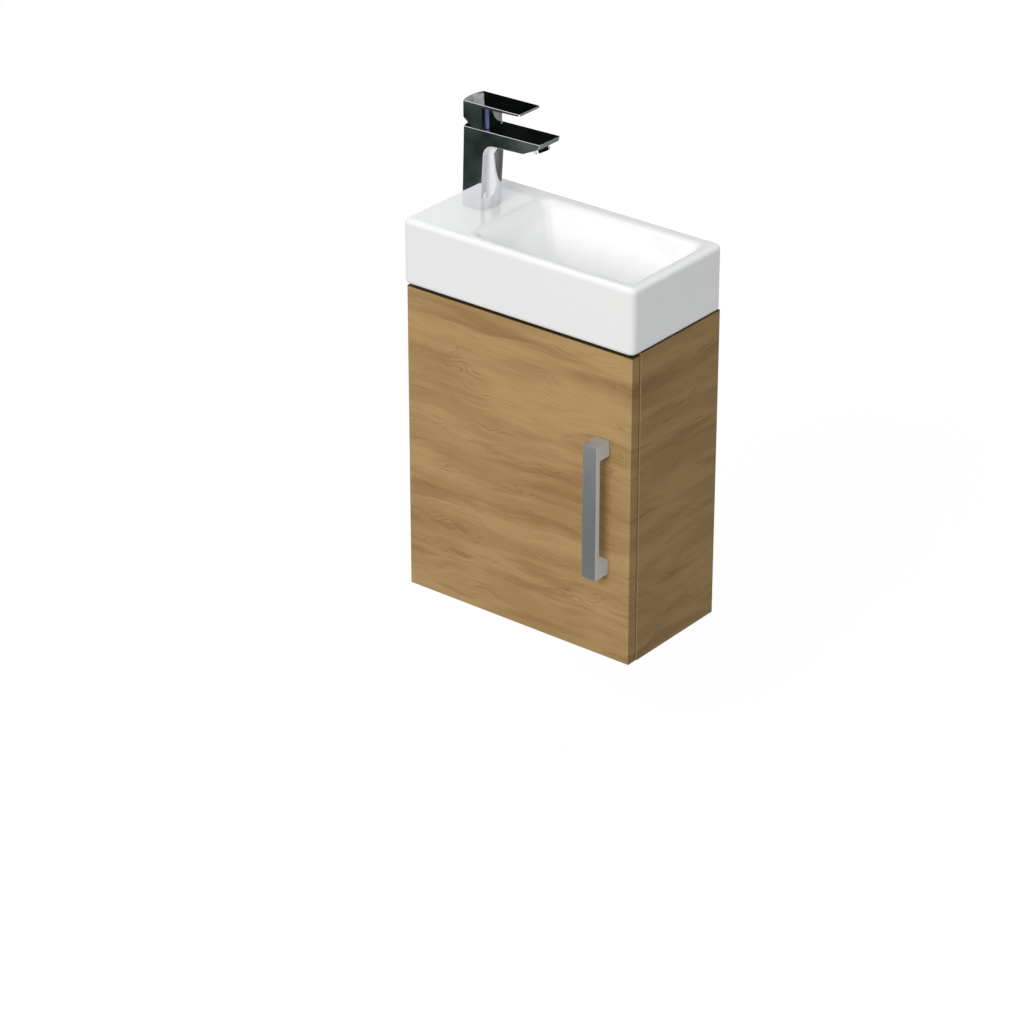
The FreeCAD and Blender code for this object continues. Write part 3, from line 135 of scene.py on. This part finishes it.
def oak_grain(tree, place, along, across):
    u, v = (add(tree, "VectorMath", {0: place, 1: way}, operation="DOT_PRODUCT").outputs["Value"]
            for way in (along, across))
    flat = add(tree, "CombineXYZ", {"X": u, "Y": v}).outputs["Vector"]
    pushed = [v]
    for long_mm, wide_mm, low, high, push in (SWAY, RIPPLE):
        stretched = add(tree, "Mapping", {
            "Vector": flat, "Scale": (per_metre(long_mm), per_metre(wide_mm), 1.0)})
        drift = add(tree, "TexNoise", {
            "Vector": stretched.outputs["Vector"], "Scale": 1.0,
            "Detail": DRIFT_DETAIL, "Roughness": GRAIN_ROUGHNESS})
        shift = add(tree, "MapRange", {
            "Value": drift.outputs["Fac"], "From Min": low, "From Max": high,
            "To Min": -push, "To Max": push,
        }, interpolation_type="SMOOTHSTEP")
        moved = add(tree, "Math", {0: pushed[-1], 1: shift.outputs["Result"]}, operation="ADD")
        pushed.append(moved.outputs["Value"])
    swayed, rippled = pushed[1:]
    flow = add(tree, "CombineXYZ", {"X": u, "Y": swayed}).outputs["Vector"]
    return flow, rippled


print("the grain sways by", 1000 * SWAY[-1], "mm and ripples by", 1000 * RIPPLE[-1], "mm")

# %% [markdown]
# ## Oak decor: the figure
# Oak has a figure at several scales: long patches of lighter and deeper tone, bands of darker wood,
# patches of growth lines some 6 mm apart, short fine streaks, and pores. Each is a noise drawn out along
# the grain. Growth lines are a sine wave across it, kept to their patches. Pores are a few tenths of a
# millimetre wide, too fine to show here, so they are drawn at twice that.

# %% Figure of the oak
LINE_PITCH_MM = 6.5
# each mask: its length and width in mm, its detail, and the noise levels at which it starts and is full
OAK_FIGURE = {
    "tone": (300.0, 38.0, 3.0, (0.40, 0.60)),
    "bands": (280.0, 32.0, 5.0, (0.50, 0.66)),
    "lines": (120.0, 22.0, 3.0, (0.50, 0.66)),
    "streaks": (60.0, 1.9, 3.0, None),
    "pores": (9.0, 0.7, 1.0, (0.66, 0.76)),
}


def oak_figure(tree, flow, rippled):
    masks = {}
    for layer, (long_mm, wide_mm, detail, levels) in OAK_FIGURE.items():
        stretched = add(tree, "Mapping", {
            "Vector": flow, "Scale": (per_metre(long_mm), per_metre(wide_mm), 1.0)})
        masks[layer] = add(tree, "TexNoise", {
            "Vector": stretched.outputs["Vector"], "Scale": 1.0,
            "Detail": detail, "Roughness": GRAIN_ROUGHNESS}).outputs["Fac"]
        if levels:
            masks[layer] = add(tree, "MapRange", {
                "Value": masks[layer], "From Min": levels[0], "From Max": levels[1],
            }, interpolation_type="SMOOTHSTEP").outputs["Result"]
    turns = add(tree, "Math", {
        0: rippled, 1: 2 * math.pi * per_metre(LINE_PITCH_MM)}, operation="MULTIPLY").outputs["Value"]
    wave = add(tree, "Math", {0: turns}, operation="SINE").outputs["Value"]
    crests = add(tree, "MapRange", {"Value": wave}, interpolation_type="SMOOTHSTEP").outputs["Result"]
    masks["lines"] = add(tree, "Math", {
        0: crests, 1: masks["lines"]}, operation="MULTIPLY").outputs["Value"]
    return masks


print("figure of the oak:", ", ".join(OAK_FIGURE))

# %% [markdown]
# ## Oak decor: the print
# The foil is printed with a light and a middle brown, and with two darker browns over them. The darker
# ones are mixed in one after the other, each by its mask and no further than its strength.

# %% Print of the oak
OAK_LIGHT = "#BD9C6B"
OAK_MID = "#AE8E5F"
OAK_BAND = "#936F48"
OAK_LINE = "#7A5A36"
# each ink: its mask, the levels of the mask at which it starts and is full, its strength and its colour
OAK_INKS = (
    ("bands", 0.0, 1.0, 0.54, OAK_BAND),
    ("lines", 0.0, 1.0, 0.34, OAK_LINE),
    ("streaks", 0.42, 0.72, 0.27, OAK_BAND),
    ("pores", 0.0, 1.0, 0.32, OAK_LINE),
)


def oak_print(tree, masks):
    colour = add(tree, "Mix", {
        0: masks["tone"], COLOUR_A: linear(OAK_LIGHT), COLOUR_B: linear(OAK_MID),
    }, data_type="RGBA").outputs[COLOUR_OUT]
    for layer, low, high, strength, ink in OAK_INKS:
        amount = add(tree, "MapRange", {
            "Value": masks[layer], "From Min": low, "From Max": high, "To Max": strength,
        }, interpolation_type="SMOOTHSTEP").outputs["Result"]
        colour = add(tree, "Mix", {
            0: amount, COLOUR_A: colour, COLOUR_B: linear(ink)}, data_type="RGBA").outputs[COLOUR_OUT]
    return colour


print("inks over the light oak:", [ink[0] for ink in OAK_INKS])

# %% [markdown]
# ## Oak decor: painted side shade and painted gap shade
# Faces that look left or right, on the sides and on the door's upright edges, get a painted shade: their
# print is darkened by their normal, so that they look less lit than the front. The top edges under the
# basin get a painted shade too: a dark line, drawn by height, that stands for the shadow in the gap.

# %% Painted side shade and painted gap shade
# Painted shade: the colour that darkens the print on faces that look left or right, as if less lit.
PAINTED_SIDE_SHADE = "#DBDAD0"
SIDEWAYS = (1.0, 0.0, 0.0)
SIDE_FROM, SIDE_FULL = 0.3, 0.7
# Painted shade: the dark line on top edges that stands for the shadow in the gap under the basin.
GAP_SHADE_PAINT = "#4A3A24"
GAP_SHADE_DEPTH = 0.0012
EDGE_FADE = 0.0003


# Multiplies the print by the painted side shade on faces that look left or right.
def paint_side_shade(tree, colour, facing):
    turned = add(tree, "VectorMath", {0: facing, 1: SIDEWAYS}, operation="DOT_PRODUCT").outputs["Value"]
    either_way = add(tree, "Math", {0: turned}, operation="ABSOLUTE").outputs["Value"]
    on_a_side = add(tree, "MapRange", {
        "Value": either_way, "From Min": SIDE_FROM, "From Max": SIDE_FULL,
    }, interpolation_type="SMOOTHSTEP").outputs["Result"]
    return add(tree, "Mix", {
        0: on_a_side, COLOUR_A: colour, COLOUR_B: linear(PAINTED_SIDE_SHADE),
    }, data_type="RGBA", blend_type="MULTIPLY").outputs[COLOUR_OUT]


# Paints the gap's shadow as a dark line along the top of each board, down to the given depth.
def paint_gap_shade(tree, colour, place, board_top):
    height = add(tree, "SeparateXYZ", {"Vector": place}).outputs["Z"]
    shade_from = board_top - GAP_SHADE_DEPTH
    painted_shade = add(tree, "MapRange", {
        "Value": height, "From Min": shade_from, "From Max": shade_from + EDGE_FADE,
    }, interpolation_type="SMOOTHSTEP").outputs["Result"]
    return add(tree, "Mix", {
        0: painted_shade, COLOUR_A: colour, COLOUR_B: linear(GAP_SHADE_PAINT)}, data_type="RGBA").outputs[COLOUR_OUT]


# The painted gap shade reaches this far down each top edge.
print("sealed edges are dark over", 1000 * GAP_SHADE_DEPTH, "mm")

# %% [markdown]
# ## Oak decor: lacquer and boards
# A satin lacquer gives a soft sheen that follows the streaks, and the embossing lets streaks stand up and
# pores sink in. Three materials come of it, because the bottom board lies level and the door's top edge
# is lower than the other boards' is.

# %% Lacquer and boards
LACQUER_IOR = 1.48
LACQUER_SPECULAR = 0.12
LACQUER_ROUGH = (0.42, 0.54)
EMBOSSING = 0.25
RELIEF_DEPTH = 0.0001
NOISE_LOW, NOISE_HIGH = 0.3, 0.7
ROUND_THE_CORNER, UP = (1.0, 1.0, 0.0), (0.0, 0.0, 1.0)
LEVEL_ALONG, LEVEL_ACROSS = (1.0, 0.0, 0.0), (0.0, 1.0, 0.3)


def oak_decor(name, along, across, board_top):
    material, tree, shader = new_material(name)
    coordinates = add(tree, "TexCoord")
    place = coordinates.outputs["Object"]
    masks = oak_figure(tree, *oak_grain(tree, place, along, across))
    colour = paint_side_shade(tree, oak_print(tree, masks), coordinates.outputs["Normal"])
    colour = paint_gap_shade(tree, colour, place, board_top)
    tree.links.new(colour, shader.inputs["Base Color"])
    sheen = add(tree, "MapRange", {
        "Value": masks["streaks"], "From Min": NOISE_LOW, "From Max": NOISE_HIGH,
        "To Min": LACQUER_ROUGH[0], "To Max": LACQUER_ROUGH[1]}, interpolation_type="SMOOTHSTEP")
    tree.links.new(sheen.outputs["Result"], shader.inputs["Roughness"])
    relief = add(tree, "Math", {0: masks["streaks"], 1: masks["pores"]}, operation="SUBTRACT")
    bump = add(tree, "Bump", {
        "Strength": EMBOSSING, "Distance": RELIEF_DEPTH, "Height": relief.outputs["Value"]})
    tree.links.new(bump.outputs["Normal"], shader.inputs["Normal"])
    shader.inputs["IOR"].default_value = LACQUER_IOR
    shader.inputs["Specular IOR Level"].default_value = LACQUER_SPECULAR
    return material


panel_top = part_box("right_side_panel")[1].z
door_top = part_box("door")[1].z
oak_panels = oak_decor("oak_decor_foil", ROUND_THE_CORNER, UP, panel_top)
oak_door = oak_decor("oak_decor_foil_door", ROUND_THE_CORNER, UP, door_top)
oak_level = oak_decor("oak_decor_foil_level", LEVEL_ALONG, LEVEL_ACROSS, panel_top)
print("oak decor:", len(oak_door.node_tree.nodes), "nodes")

# %% [markdown]
# ## Edging tape
# The cut front edges of the carcass carry a 1 mm plastic tape, printed to match the foil but a little
# paler. Where it turns the corner, it shows as the fine light line along the front of the side. The tape
# is so narrow that the oak's figure would be lost on it, so its print is fibres alone.

# %% Edging tape
def fibrous(name, colours, rough, fibre_mm):
    material, tree, shader = new_material(name)
    place = add(tree, "TexCoord").outputs["Object"]
    scaled = add(tree, "Mapping", {
        "Vector": place, "Scale": tuple(per_metre(size) for size in fibre_mm)}).outputs["Vector"]
    fibres = add(tree, "TexNoise", {"Vector": scaled, "Scale": 1.0, "Detail": 2.0}).outputs["Fac"]
    colour = add(tree, "Mix", {
        0: fibres, COLOUR_A: linear(colours[0]), COLOUR_B: linear(colours[1])}, data_type="RGBA")
    tree.links.new(colour.outputs[COLOUR_OUT], shader.inputs["Base Color"])
    spread = add(tree, "MapRange", {"Value": fibres, "To Min": rough[0], "To Max": rough[1]})
    tree.links.new(spread.outputs["Result"], shader.inputs["Roughness"])
    return material


edge_tape = fibrous("printed_edging_tape", ("#B2966C", "#9F8258"), (0.34, 0.46), (1.5, 1.5, 40.0))
print("edging tape:", len(edge_tape.node_tree.nodes), "nodes")

# %% [markdown]
# ## Glazed ceramic
# The basin is cast fireclay, sprayed with a white glaze and fired. The glaze is glass: a clear, sharp
# gloss over a milky white body. It runs a little in the kiln, so its surface swells and dips by
# hundredths of a millimetre over a centimetre or two, and reflections wave where it does. That is far too
# shallow to model, so it is a bump.

# %% Glazed ceramic
GLAZE_WHITE = "#F5F5F3"
GLAZE_COOL = "#F2F3F3"
GLAZE_ROUGH = (0.05, 0.10)
GLAZE_IOR = 1.52
GLAZE_SWELL = 0.5
POOL_MM = 60.0
SWELL_MM = 22.0


def glazed_ceramic():
    material, tree, shader = new_material("white_glazed_fireclay")
    place = add(tree, "TexCoord").outputs["Object"]
    pooling = add(tree, "TexNoise", {
        "Vector": place, "Scale": per_metre(POOL_MM), "Detail": 2.0}).outputs["Fac"]
    swell = add(tree, "TexNoise", {
        "Vector": place, "Scale": per_metre(SWELL_MM), "Detail": 1.0}).outputs["Fac"]
    colour = add(tree, "Mix", {
        0: pooling, COLOUR_A: linear(GLAZE_WHITE), COLOUR_B: linear(GLAZE_COOL)}, data_type="RGBA")
    tree.links.new(colour.outputs[COLOUR_OUT], shader.inputs["Base Color"])
    spread = add(tree, "MapRange", {"Value": pooling, "To Min": GLAZE_ROUGH[0], "To Max": GLAZE_ROUGH[1]})
    tree.links.new(spread.outputs["Result"], shader.inputs["Roughness"])
    bump = add(tree, "Bump", {"Strength": GLAZE_SWELL, "Distance": RELIEF_DEPTH, "Height": swell})
    tree.links.new(bump.outputs["Normal"], shader.inputs["Normal"])
    shader.inputs["IOR"].default_value = GLAZE_IOR
    return material


glaze = glazed_ceramic()
print("glazed ceramic:", len(glaze.node_tree.nodes), "nodes")

# %% [markdown]
# ## Metals
# Five metals share one recipe: a base colour that shifts a little, a roughness that shifts with it, and a
# fine relief. Polished chrome has almost no relief and mirrors the room. The handle's satin nickel was
# brushed along its length, so its relief is drawn out in that direction. The plate on hinges and screws
# is duller and cloudy, the zinc a little bluish, and brass shows turning marks. Brush marks are finer
# than a pixel here, so they are drawn 1 mm wide.

# %% Metals
def metal(name, colours, rough, grain_mm, relief):
    material, tree, shader = new_material(name)
    place = add(tree, "TexCoord").outputs["Object"]
    scaled = add(tree, "Mapping", {
        "Vector": place, "Scale": tuple(per_metre(size) for size in grain_mm)}).outputs["Vector"]
    grain = add(tree, "TexNoise", {"Vector": scaled, "Scale": 1.0, "Detail": 3.0}).outputs["Fac"]
    colour = add(tree, "Mix", {
        0: grain, COLOUR_A: linear(colours[0]), COLOUR_B: linear(colours[1])}, data_type="RGBA")
    tree.links.new(colour.outputs[COLOUR_OUT], shader.inputs["Base Color"])
    spread = add(tree, "MapRange", {
        "Value": grain, "From Min": NOISE_LOW, "From Max": NOISE_HIGH,
        "To Min": rough[0], "To Max": rough[1]})
    tree.links.new(spread.outputs["Result"], shader.inputs["Roughness"])
    bump = add(tree, "Bump", {"Strength": relief, "Distance": RELIEF_DEPTH, "Height": grain})
    tree.links.new(bump.outputs["Normal"], shader.inputs["Normal"])
    shader.inputs["Metallic"].default_value = 1.0
    return material


chrome = metal("polished_chrome", ("#EEEFF1", "#E6E8EB"), (0.03, 0.06), (30.0, 30.0, 30.0), 0.10)
satin_nickel = metal("brushed_satin_nickel", ("#BDBFBE", "#B3B5B4"), (0.44, 0.54), (1.0, 1.0, 60.0), 0.12)
hinge_steel = metal("nickel_plated_steel", ("#C9C5BC", "#B5B1A8"), (0.18, 0.30), (8.0, 8.0, 8.0), 0.10)
zinc_steel = metal("zinc_plated_steel", ("#BFC4C8", "#A7ADB3"), (0.28, 0.44), (4.0, 4.0, 4.0), 0.20)
brass = metal("turned_brass", ("#C9A561", "#B48F4C"), (0.20, 0.34), (20.0, 20.0, 0.8), 0.20)
print("metals:", [m.name for m in (chrome, satin_nickel, hinge_steel, zinc_steel, brass)])

# %% [markdown]
# ## Plastics, rubber, silicone and beech
# Moulded plastic has a fine spark-eroded texture and a soft gloss. Rubber seals are nearly black and dull.
# The clear silicone of the bumpers and of the bed under the basin lets some light through. One recipe
# serves all of them. The dowels are beech, pale with short brown flecks along their length, and take the
# recipe of the tape, whose fibres become the flecks.

# %% Plastics, rubber, silicone and beech
CLOUD_MM = 12.0
MOULD_TEXTURE = 0.2


def moulded(name, colours, rough, texture_mm, through=0.0):
    material, tree, shader = new_material(name)
    place = add(tree, "TexCoord").outputs["Object"]
    cloud = add(tree, "TexNoise", {
        "Vector": place, "Scale": per_metre(CLOUD_MM), "Detail": 2.0}).outputs["Fac"]
    texture = add(tree, "TexNoise", {
        "Vector": place, "Scale": per_metre(texture_mm), "Detail": 1.0}).outputs["Fac"]
    colour = add(tree, "Mix", {
        0: cloud, COLOUR_A: linear(colours[0]), COLOUR_B: linear(colours[1])}, data_type="RGBA")
    tree.links.new(colour.outputs[COLOUR_OUT], shader.inputs["Base Color"])
    spread = add(tree, "MapRange", {"Value": cloud, "To Min": rough[0], "To Max": rough[1]})
    tree.links.new(spread.outputs["Result"], shader.inputs["Roughness"])
    bump = add(tree, "Bump", {"Strength": MOULD_TEXTURE, "Distance": RELIEF_DEPTH, "Height": texture})
    tree.links.new(bump.outputs["Normal"], shader.inputs["Normal"])
    shader.inputs["Transmission Weight"].default_value = through
    return material


white_plastic = moulded("white_moulded_nylon", ("#EBEBE8", "#E2E2DE"), (0.34, 0.46), 0.8)
grey_plastic = moulded("grey_moulded_acetal", ("#64676B", "#585B5F"), (0.30, 0.42), 0.8)
rubber = moulded("black_seal_rubber", ("#262626", "#1C1C1C"), (0.60, 0.80), 0.6)
silicone = moulded("soft_clear_silicone", ("#D7D9DA", "#CDD0D2"), (0.28, 0.40), 1.2, through=0.45)
beech = fibrous("fluted_beech", ("#D9BC94", "#B48F66"), (0.45, 0.65), (6.0, 0.9, 0.9))
print("others:", [m.name for m in (white_plastic, grey_plastic, rubber, silicone, beech)])

# %% [markdown]
# ## Dressing the pieces
# Each piece could be given its material by hand. The record already says which finish each piece has, so
# a dictionary from finish to material dresses all of them in one loop. Only two boards have an oak of
# their own: the bottom, whose grain runs along X on a level face, and the door, whose top edge lies lower
# than that of the other boards.

# %% Dress the pieces
finishes = {
    "oak_decor": oak_panels, "edge_band": edge_tape, "glazed_white": glaze, "chrome": chrome,
    "satin_nickel": satin_nickel, "hinge_steel": hinge_steel, "zinc_steel": zinc_steel, "brass": brass,
    "white_plastic": white_plastic, "grey_plastic": grey_plastic, "rubber": rubber,
    "clear_silicone": silicone, "beech": beech,
}
own_finish = {"bottom_panel": oak_level, "door": oak_door}

for part in frame["record"]["subparts"]:
    name = part["node"]
    mesh = frame["nodes"][name].data
    mesh.materials.clear()
    mesh.materials.append(own_finish.get(name, finishes[part["material_slot"]]))

# %% [markdown]
# ## Floor and white background
# The unit hangs with its rim 850 mm above the floor. The camera looks down, so the floor is the whole
# background. A floor lit until it is white would put more light on the unit. So its paint is a plain grey
# that takes the unit's soft shadow, and it glows for rays that come straight from the camera, from a
# mirror or through something clear. With the glow it looks white. The room beyond it works the same way.

# %% Floor
RIM_HEIGHT = 0.850
FLOOR_HALF = 30.0
FLOOR_PAINT = "#757575"
FLOOR_ROUGH = 0.9
FLOOR_GLOW = 0.86
WHITE = linear("#FFFFFF")
floor_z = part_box("basin")[1].z - RIM_HEIGHT


def seen_directly(tree):
    path = add(tree, "LightPath")
    seen = add(tree, "Math", {
        0: path.outputs["Is Camera Ray"], 1: path.outputs["Is Glossy Ray"]}, operation="ADD")
    clear = add(tree, "Math", {
        0: seen.outputs["Value"], 1: path.outputs["Is Transmission Ray"]}, operation="ADD", use_clamp=True)
    return clear.outputs["Value"]


bpy.ops.object.select_all(action="DESELECT")
bpy.ops.mesh.primitive_plane_add(size=2 * FLOOR_HALF, location=(0.0, 0.0, floor_z))
floor = bpy.context.object
floor.name = "floor"
floor_paint, tree, shader = new_material("pale_floor")
shader.inputs["Base Color"].default_value = linear(FLOOR_PAINT)
shader.inputs["Roughness"].default_value = FLOOR_ROUGH
shader.inputs["Specular IOR Level"].default_value = 0.0
shader.inputs["Emission Color"].default_value = WHITE
glow = add(tree, "Math", {0: seen_directly(tree), 1: FLOOR_GLOW}, operation="MULTIPLY").outputs["Value"]
tree.links.new(glow, shader.inputs["Emission Strength"])
floor.data.materials.append(floor_paint)
floor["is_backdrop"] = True
print("floor at", round(floor_z, 3), "m")

# %% White room
ROOM_COLOUR = "#FAFCFF"
ROOM_LEVEL = 0.735

world = bpy.data.worlds.new("white_studio")
world.use_nodes = True
bpy.context.scene.world = world
tree = world.node_tree
tree.nodes.clear()
soft = add(tree, "Background", {"Color": linear(ROOM_COLOUR), "Strength": ROOM_LEVEL})
white = add(tree, "Background", {"Color": WHITE, "Strength": 1.0})
both = add(tree, "MixShader", {0: seen_directly(tree), 1: soft.outputs[0], 2: white.outputs[0]})
add(tree, "OutputWorld", {"Surface": both.outputs[0]})
print("the room lights the unit at", ROOM_LEVEL)

# %% [markdown]
# ## Lamp
# One very large soft lamp stands well in front of the unit and above it. It gives the door its light and
# puts a soft shadow behind the handle. The rest is the even light of the room. A smaller lamp would draw
# hard shadows. The camera and the mirrors don't see the lamp, so it leaves no spot on the chrome.

# %% Lamp
LAMP_WAY = Vector((0.14, -0.87, 0.47)).normalized()
LAMP_DISTANCE = 7.0
LAMP_SIZE = 3.6
LAMP_POWER = 243.0
LAMP_COLOUR = "#FFFDFA"

lamp = bpy.data.lights.new("key_softbox", "AREA")
lamp.shape = "SQUARE"
lamp.size = LAMP_SIZE
lamp.energy = LAMP_POWER
lamp.color = linear(LAMP_COLOUR)[:3]
key = bpy.data.objects.new("key_softbox", lamp)
key.location = UNIT_CENTRE + LAMP_WAY * LAMP_DISTANCE
key.rotation_euler = LAMP_WAY.to_track_quat("Z", "Y").to_euler()
key.visible_camera = False
key.visible_glossy = False
bpy.context.scene.collection.objects.link(key)
print("one lamp of", LAMP_POWER, "W,", LAMP_SIZE, "m wide")

# %% [markdown]
# ## Flags
# Chrome only shows what is around it, and in a white room it would vanish. A photographer hangs cards of
# dark or tinted cloth round it, called flags, where its faces look. Painting the chrome dark instead would
# look wrong from every other side. Only mirrored rays see the flags, so they throw no shadow and take no
# light from anything. Their cloth is a little uneven, as real cloth is, and shows its own colour in any
# light.

# %% Flag cloth
CLOTH_LOW, CLOTH_HIGH = 0.35, 0.65
BLACK = linear("#000000")


def flag_cloth(name, dark, light, patch_mm):
    material, tree, shader = new_material(name)
    place = add(tree, "TexCoord").outputs["Object"]
    cloud = add(tree, "TexNoise", {
        "Vector": place, "Scale": per_metre(patch_mm), "Detail": 2.0}).outputs["Fac"]
    spread = add(tree, "MapRange", {
        "Value": cloud, "From Min": CLOTH_LOW, "From Max": CLOTH_HIGH}).outputs["Result"]
    colour = add(tree, "Mix", {
        0: spread, COLOUR_A: linear(dark), COLOUR_B: linear(light)}, data_type="RGBA")
    tree.links.new(colour.outputs[COLOUR_OUT], shader.inputs["Emission Color"])
    shader.inputs["Emission Strength"].default_value = 1.0
    shader.inputs["Base Color"].default_value = BLACK
    shader.inputs["Specular IOR Level"].default_value = 0.0
    return material


black_cloth = flag_cloth("black_flag_cloth", "#070A08", "#121814", 60.0)
green_cloth = flag_cloth("green_flag_cloth", "#1A231E", "#3C4641", 40.0)
silver_cloth = flag_cloth("silver_flag_cloth", "#3B4440", "#5F6663", 22.0)
purple_cloth = flag_cloth("purple_flag_cloth", "#565154", "#787373", 60.0)
grey_cloth = flag_cloth("grey_flag_cloth", "#6B6E69", "#8B8D88", 60.0)
pale_cloth = flag_cloth("pale_flag_cloth", "#646A66", "#B4B8B5", 12.0)
blue_cloth = flag_cloth("blue_flag_cloth", "#50528A", "#7A7CAC", 30.0)
handle_cloth = flag_cloth("handle_flag_cloth", "#465251", "#505C5B", 200.0)
door_cloth = flag_cloth("door_flag_cloth", "#CFC2B3", "#D8CCC0", 50.0)
print("flag cloths:", sum(m.name.endswith("flag_cloth") for m in bpy.data.materials))

# %% [markdown]
# ## Flags for the flat faces of the tap
# A flat face mirrors one patch of the room, so its flag can be placed exactly: a line of sight goes from
# the camera to a spot on the face and on from there as a mirror throws it, and the flag is hung across
# that line. The spots are taken from the boxes of the tap's pieces. The ring of the aerator is round, so
# its flag follows the middle of the side that shows.

# %% Flags for the flat faces of the tap
TOP, FRONT, RIGHT = (0.0, 0.0, 1.0), (0.0, -1.0, 0.0), (1.0, 0.0, 0.0)
LEVER_TOP = (-0.0193, 0.0, 1.0)
AERATOR_SIDE = (0.45, -0.86, 0.21)
LEVER_INSET_X, LEVER_INSET_Y, SPOUT_INSET = 0.017, 0.010, 0.022
FRONT_Z, FOOT_Z, SPOUT_Z = 0.261, 0.182, 0.253
HIDDEN_FROM = ("camera", "diffuse", "transmission", "volume_scatter", "shadow")


def flag(name, centre, facing, width, height, cloth):
    bpy.ops.object.select_all(action="DESELECT")
    bpy.ops.mesh.primitive_plane_add(size=1.0)
    card = bpy.context.object
    card.name = name
    card.scale = (width, height, 1.0)
    card.rotation_euler = Vector(facing).to_track_quat("Z", "Y").to_euler()
    card.location = centre
    bpy.ops.object.transform_apply()
    card.data.materials.append(cloth)
    for ray in HIDDEN_FROM:
        setattr(card, "visible_" + ray, False)
    card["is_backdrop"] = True


def flag_seen_in(name, spot, face, distance, width, height, cloth):
    way = (Vector(spot) - camera.location).normalized().reflect(Vector(face).normalized())
    flag(name, Vector(spot) + way * distance, way, width, height, cloth)


tap_low, tap_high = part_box("tap_body")
lever_low, lever_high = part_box("lever")
ring_low, ring_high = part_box("aerator_ring")
tap_mid = (tap_low + tap_high) / 2
lever_middle = (tap_mid.x, tap_mid.y, lever_high.z)
lever_end = (lever_low.x + LEVER_INSET_X, tap_low.y + LEVER_INSET_Y, lever_high.z)
front_middle = (tap_mid.x, tap_low.y, FRONT_Z)
column_foot = (lever_low.x, tap_low.y, FOOT_Z)
spout_end = (tap_high.x - SPOUT_INSET, tap_low.y, SPOUT_Z)
aerator_middle = (ring_low + ring_high) / 2

# name, spot, way the face looks, distance from the spot, width, height, cloth
mirrored_flags = (
    ("flag_over", lever_middle, TOP, 0.25, 0.26, 0.22, black_cloth),
    ("flag_over_end", lever_end, LEVER_TOP, 0.21, 0.028, 0.022, pale_cloth),
    ("flag_front", front_middle, FRONT, 1.10, 0.193, 0.130, green_cloth),
    ("flag_front_foot", column_foot, FRONT, 1.12, 0.092, 0.046, green_cloth),
    ("flag_front_end", spout_end, FRONT, 1.05, 0.055, 0.040, silver_cloth),
    ("flag_aerator", aerator_middle, AERATOR_SIDE, 0.40, 0.40, 0.16, black_cloth),
)
for row in mirrored_flags:
    flag_seen_in(*row)
print("flags for the flat faces:", len(mirrored_flags))

# %% [markdown]
# ## Flags for the rounded faces of the tap and for the handle
# The bowed column and the round hub of the lever mirror a wide sweep of the room, squeezed together. Their
# flags stand behind the unit and to the right of the tap, where mirrored lines of sight were found to end.
# The brushed handle blurs what it mirrors. It takes a broad card low in front of it, which darkens its
# face, and a pale one against the door, which lightens its inner side.

# %% Flags for the rounded faces and the handle
HANDLE_SHIFT, DOOR_GAP = 0.01, 0.001
handle_low, handle_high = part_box("handle")
handle_mid = (handle_low + handle_high) / 2
door_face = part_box("door")[0].y
behind_handle = (handle_mid.x + HANDLE_SHIFT, door_face - DOOR_GAP, handle_mid.z)

# name, centre, way it faces, width, height, cloth
standing_flags = (
    ("flag_back", (-0.125, 0.060, -0.0325), FRONT, 0.25, 0.445, purple_cloth),
    ("flag_back_right", (0.090, 0.060, -0.045), FRONT, 0.18, 0.42, grey_cloth),
    ("flag_back_high", (-0.005, 0.057, 0.210), FRONT, 0.31, 0.09, grey_cloth),
    ("flag_rear", (-0.02, 0.22, 0.43), FRONT, 0.34, 0.26, black_cloth),
    ("flag_right", (0.13, 0.02, 0.42), RIGHT, 0.60, 0.26, black_cloth),
    ("flag_right_low", (0.044, -0.150, 0.205), RIGHT, 0.08, 0.09, black_cloth),
    ("flag_blue", (0.12, -0.085, 0.347), RIGHT, 0.08, 0.064, blue_cloth),
    ("flag_low", (-0.15, -0.60, -0.465), FRONT, 1.10, 0.47, handle_cloth),
    ("flag_door", behind_handle, FRONT, 0.07, 0.28, door_cloth),
)
for row in standing_flags:
    flag(*row)
print("flags for the rounded faces and the handle:", len(standing_flags))

# %% [markdown]
# ## Picture settings and size
# The standard view transform shows colours as they are written. The box of the dressed unit is written
# beside the CAD box, to show that nothing grew.

# %% Picture settings and size
bpy.context.scene.view_settings.view_transform = "Standard"
visual_box = [list(corner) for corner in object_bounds()]
grown = [abs(a - b) for a, b in zip(cad_box[0] + cad_box[1], visual_box[0] + visual_box[1])]
print("largest change of the box:", round(1000 * max(grown), 3), "mm")
